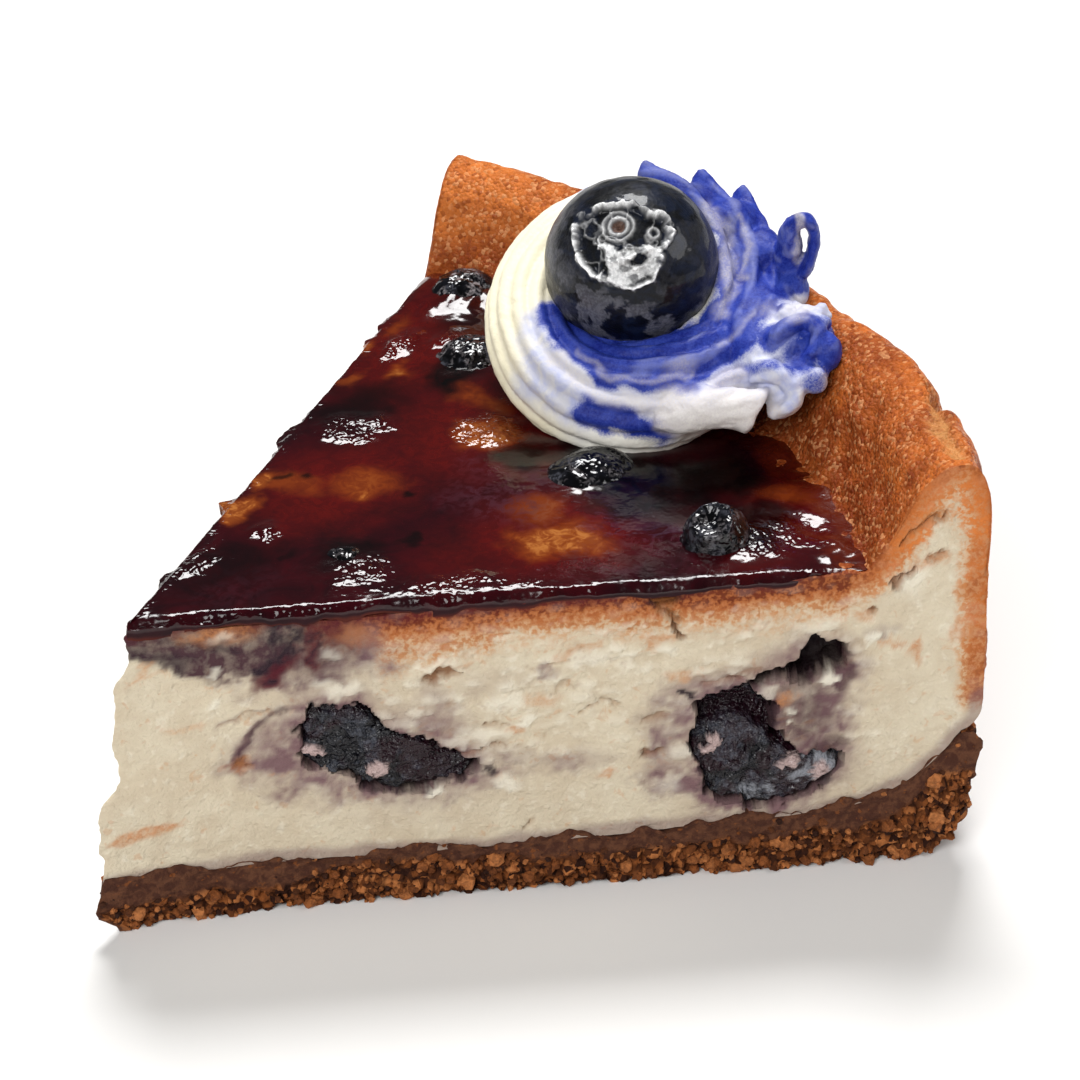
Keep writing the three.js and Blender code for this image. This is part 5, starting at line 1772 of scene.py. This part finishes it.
def makeGarnish():
    spokes = 240
    radius = berryHalf.max() + 0.12
    way = Vector(garnish["crownWay"]).normalized()
    right = Vector((0, 0, 1)).cross(way).normalized()
    frame3 = np.array([right, way.cross(right), way])
    crownAngle = math.asin(garnish["fineReach"] / radius)
    polar = np.concatenate([np.linspace(0, crownAngle, 96)[1:], np.linspace(crownAngle, math.pi, 84)[1:-1]])
    azimuth = np.linspace(0, 2 * math.pi, spokes, endpoint=False)
    p, a = (grid.ravel() for grid in np.meshgrid(polar, azimuth, indexing="ij"))
    p = np.concatenate([[0], p, [math.pi]])
    a = np.concatenate([[0], a, [0]])
    unit = np.stack([np.sin(p) * np.cos(a), np.sin(p) * np.sin(a), np.cos(p)], 1)
    body = radius * unit
    front = unit[:, 2] > 0
    seen = np.where(front[:, None], body[:, :2], 99.0)
    warp = bending(body, 1, 3, 601)
    inRing = insideDepth(seen + 0.30 * warp, crownRing)
    edge = np.exp(-((inRing - 0.12) / 0.22) ** 2)
    broken = ease(fractal(body, 1.6, 3, 603), -0.55, 0.15)
    within = ease(inRing, 0, 0.8)
    frostAndHighlight = ease(insideDepth(seen + 0.35 * warp, crownFrostAndHighlight), -0.1, 0.35)
    fromScar = np.hypot(*(seen + 0.12 * warp - crownScar).T)
    fromDot = np.hypot(*(seen - crownDot).T)
    rings = np.exp(-((fromScar - 1.05) / 0.22) ** 2) + 0.8 * np.exp(-((fromScar - 1.75) / 0.2) ** 2)
    rings = rings + 0.8 * np.exp(-((fromDot - 0.6) / 0.16) ** 2)
    folds = ease(1 - np.abs(fractal(body, 2.4, 3, 611)), 0.84, 1)
    ridge = np.exp(-(lineDistance(seen + 0.2 * warp, [(-0.9, -2.6), (1.4, -1.6), (3.6, 0.0)]) / 0.3) ** 2)
    ridge += np.exp(-(lineDistance(seen + 0.2 * warp, [(0.4, -4.4), (0.9, -2.6), (0.2, -0.8)]) / 0.25) ** 2)
    hole = spot(seen, (2.4, -1.5), (0.9, 0.55), 30, 0.4)
    height = 0.55 * edge * broken - 0.55 * within + 0.30 * rings * within
    height += 0.22 * frostAndHighlight + 0.30 * ridge * within - 0.5 * hole + 0.20 * folds * within
    height -= 0.55 * np.exp(-(fromScar / 0.4) ** 2)
    outside = ease(inRing, 0.2, -0.8)
    height += outside * (0.10 * fractal(body, 6, 3, 621) + 0.03 * fractal(body, 1.2, 2, 622))
    points = berryCentre + (body + unit * height[:, None]) @ frame3
    faces = ballFaces(spokes, len(polar))
    flat = body @ frame3
    bloomAndSheen = ease(fractal(points, 3, 5, 631, 0.6), -0.05, 0.16)
    # paler towards the bottom and along the left edge: partly real bloom, partly painted reflection
    low = ease(flat[:, 2] + 0.3 * (points[:, 0] - berryCentre[0]), 1.5, -4)
    left = ease(flat @ -acrossWay, 4, 9.4) * ease(fractal(points, 2, 4, 632), -0.15, 0.2)
    crisp = ease(fractal(body, 0.8, 3, 604), -0.5, 0.1)
    # the crown's ring and patches painted white: partly pale bloom, partly painted highlight
    frosting = (edge * broken * 1.1 + frostAndHighlight * (0.8 + 0.3 * warp[:, 0])) * (0.35 + 0.75 * crisp) - hole
    frosting = frosting + rings * within * 0.6
    masks = {
        "bloomAndSheen": outside * np.maximum(bloomAndSheen * (0.14 + 1.1 * low), 0.6 * left),
        "frostAndHighlight": frosting + 0.25 * within * folds * (1 - frostAndHighlight),
        "scar": ease(fromScar, 0.95, 0.5),
        "within": within,
    }
    print("garnish berry:", len(points), "points")
    return addMesh("garnishBlueberry", points, faces, masks)


def garnishMaterial():
    look = garnish
    material, tree, shader, where = startMaterial(
        "glazedBerry", Roughness=0.42, Specular_IOR_Level=0.14, Coat_Weight=0.3, Coat_Roughness=0.07
    )
    soft = mottle(where, 2.2, 0.4, 0.65, 0.8)
    speck = mottle(where, 0.35, 0.42, 0.6)
    colour = blendColours(soft, look["skin"], look["skinBlue"])
    # real bloom, with painted reflection towards the bottom and the left edge
    bloomAndSheen = times(painted(tree, "bloomAndSheen"), mapped(speck, 0, 1, 0.5, 0.85))
    colour = over(colour, bloomAndSheen, look["bloomAndSheen"])
    # white crown: pale bloom and painted highlight
    frostAndHighlight = times(painted(tree, "frostAndHighlight"), mapped(speck, 0, 1, 0.8, 1.1))
    colour = over(colour, frostAndHighlight, look["frostAndHighlight"])
    scar = times(painted(tree, "scar"), mapped(speck, 0, 1, 0.5, 0.9))
    colour = over(colour, scar, look["scar"])
    feed(colour, shader, "Base Color")
    fine = plus(mottle(where, 0.9, 0.3, 0.7), times(speck, 0.5))
    fine = times(fine, mapped(painted(tree, "within"), 0, 1, 0.5, 1.6))
    addBump(shader, fine, 0.08, 0.8)
    return material


# Everything is built and attached here.

cookedBerry = cookedBerryMaterial()
finishPiece(makeFilling(), fillingMaterial(), ["cheese_filling"])
for node, berry in bakedBerries.items():
    finishPiece(makeBakedBerry(node, berry), cookedBerry, [node])
finishPiece(makeGlaze(), glazeMaterial(), ["blueberry_glaze"])
berryInGlaze = glazedBerryMaterial()
for node in glazeBerryLook:
    finishPiece(makeGlazeBerry(node), berryInGlaze, [node])
crumbCrust = makeCrust()
finishPiece(crumbCrust, crustMaterial(), ["crumb_crust"])
crumbLook = crumbMaterial()
for name, seed in (("crumbs", 4), ("grains", 9)):
    scattered = scatterCrumbs(crumbCrust, name, crust[name], seed, crumbLook)
    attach(scattered, "root")
    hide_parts("crumb_crust")
finishPiece(makeCream(), creamMaterial(), ["cream_rosette"])
finishPiece(makeGarnish(), garnishMaterial(), ["garnish_blueberry"])


# Floor, light and camera.

studio = {
    "floor": "#efeeec",
    "cameraAzimuth": -37.839,
    "cameraElevation": 32.8,
    "cameraDistance": 0.5,
    "lens": 151.9,
    "aim": (0.00801, -0.0002, 0.02738),
    "worldStrength": 0.07,
    # name, azimuth and elevation in degrees, distance and size in metres, watts
    "lights": [
        ("backKey", 142, 60, 0.9, (0.40, 0.30), 8.6),
        ("frontFill", -62, 38, 1.1, (0.7, 0.5), 8.4),
        ("sideFill", 40, 30, 1.1, (0.5, 0.5), 3.4),
    ],
}


def viewWay(azimuth, elevation):
    a, e = math.radians(azimuth), math.radians(elevation)
    return Vector((math.sin(a) * math.cos(e), -math.cos(a) * math.cos(e), math.sin(e)))


def makeFloor():
    mesh = bpy.data.meshes.new("floor")
    mesh.from_pydata([(-3, -3, 0), (3, -3, 0), (3, 3, 0), (-3, 3, 0)], [], [(0, 1, 2, 3)])
    floor = bpy.data.objects.new("floor", mesh)
    bpy.context.scene.collection.objects.link(floor)
    material, _, shader, _ = startMaterial("paleFloor", Roughness=0.7, Specular_IOR_Level=0.1)
    shader.inputs["Base Color"].default_value = linear(studio["floor"])
    mesh.materials.append(material)


def addSoftLight(name, azimuth, elevation, distance, size, power):
    data = bpy.data.lights.new(name, "AREA")
    data.shape = "RECTANGLE"
    data.size, data.size_y = size
    data.energy = power
    light = bpy.data.objects.new(name, data)
    way = viewWay(azimuth, elevation)
    light.location = Vector(studio["aim"]) + way * distance
    light.rotation_euler = way.to_track_quat("Z", "Y").to_euler()
    bpy.context.scene.collection.objects.link(light)


def makeWorld():
    world = bpy.data.worlds.new("studio")
    bpy.context.scene.world = world
    world.use_nodes = True
    background = world.node_tree.nodes["Background"]
    background.inputs["Color"].default_value = (1, 1, 1, 1)
    background.inputs["Strength"].default_value = studio["worldStrength"]


def makeCamera():
    data = bpy.data.cameras.new("camera")
    data.lens = studio["lens"]
    data.sensor_width = 36
    data.clip_start = 0.01
    camera = bpy.data.objects.new("camera", data)
    way = viewWay(studio["cameraAzimuth"], studio["cameraElevation"])
    camera.location = Vector(studio["aim"]) + way * studio["cameraDistance"]
    camera.rotation_euler = way.to_track_quat("Z", "Y").to_euler()
    bpy.context.scene.collection.objects.link(camera)
    bpy.context.scene.camera = camera


makeFloor()
makeWorld()
for light in studio["lights"]:
    addSoftLight(*light)
makeCamera()
bpy.context.scene.view_settings.view_transform = "Standard"
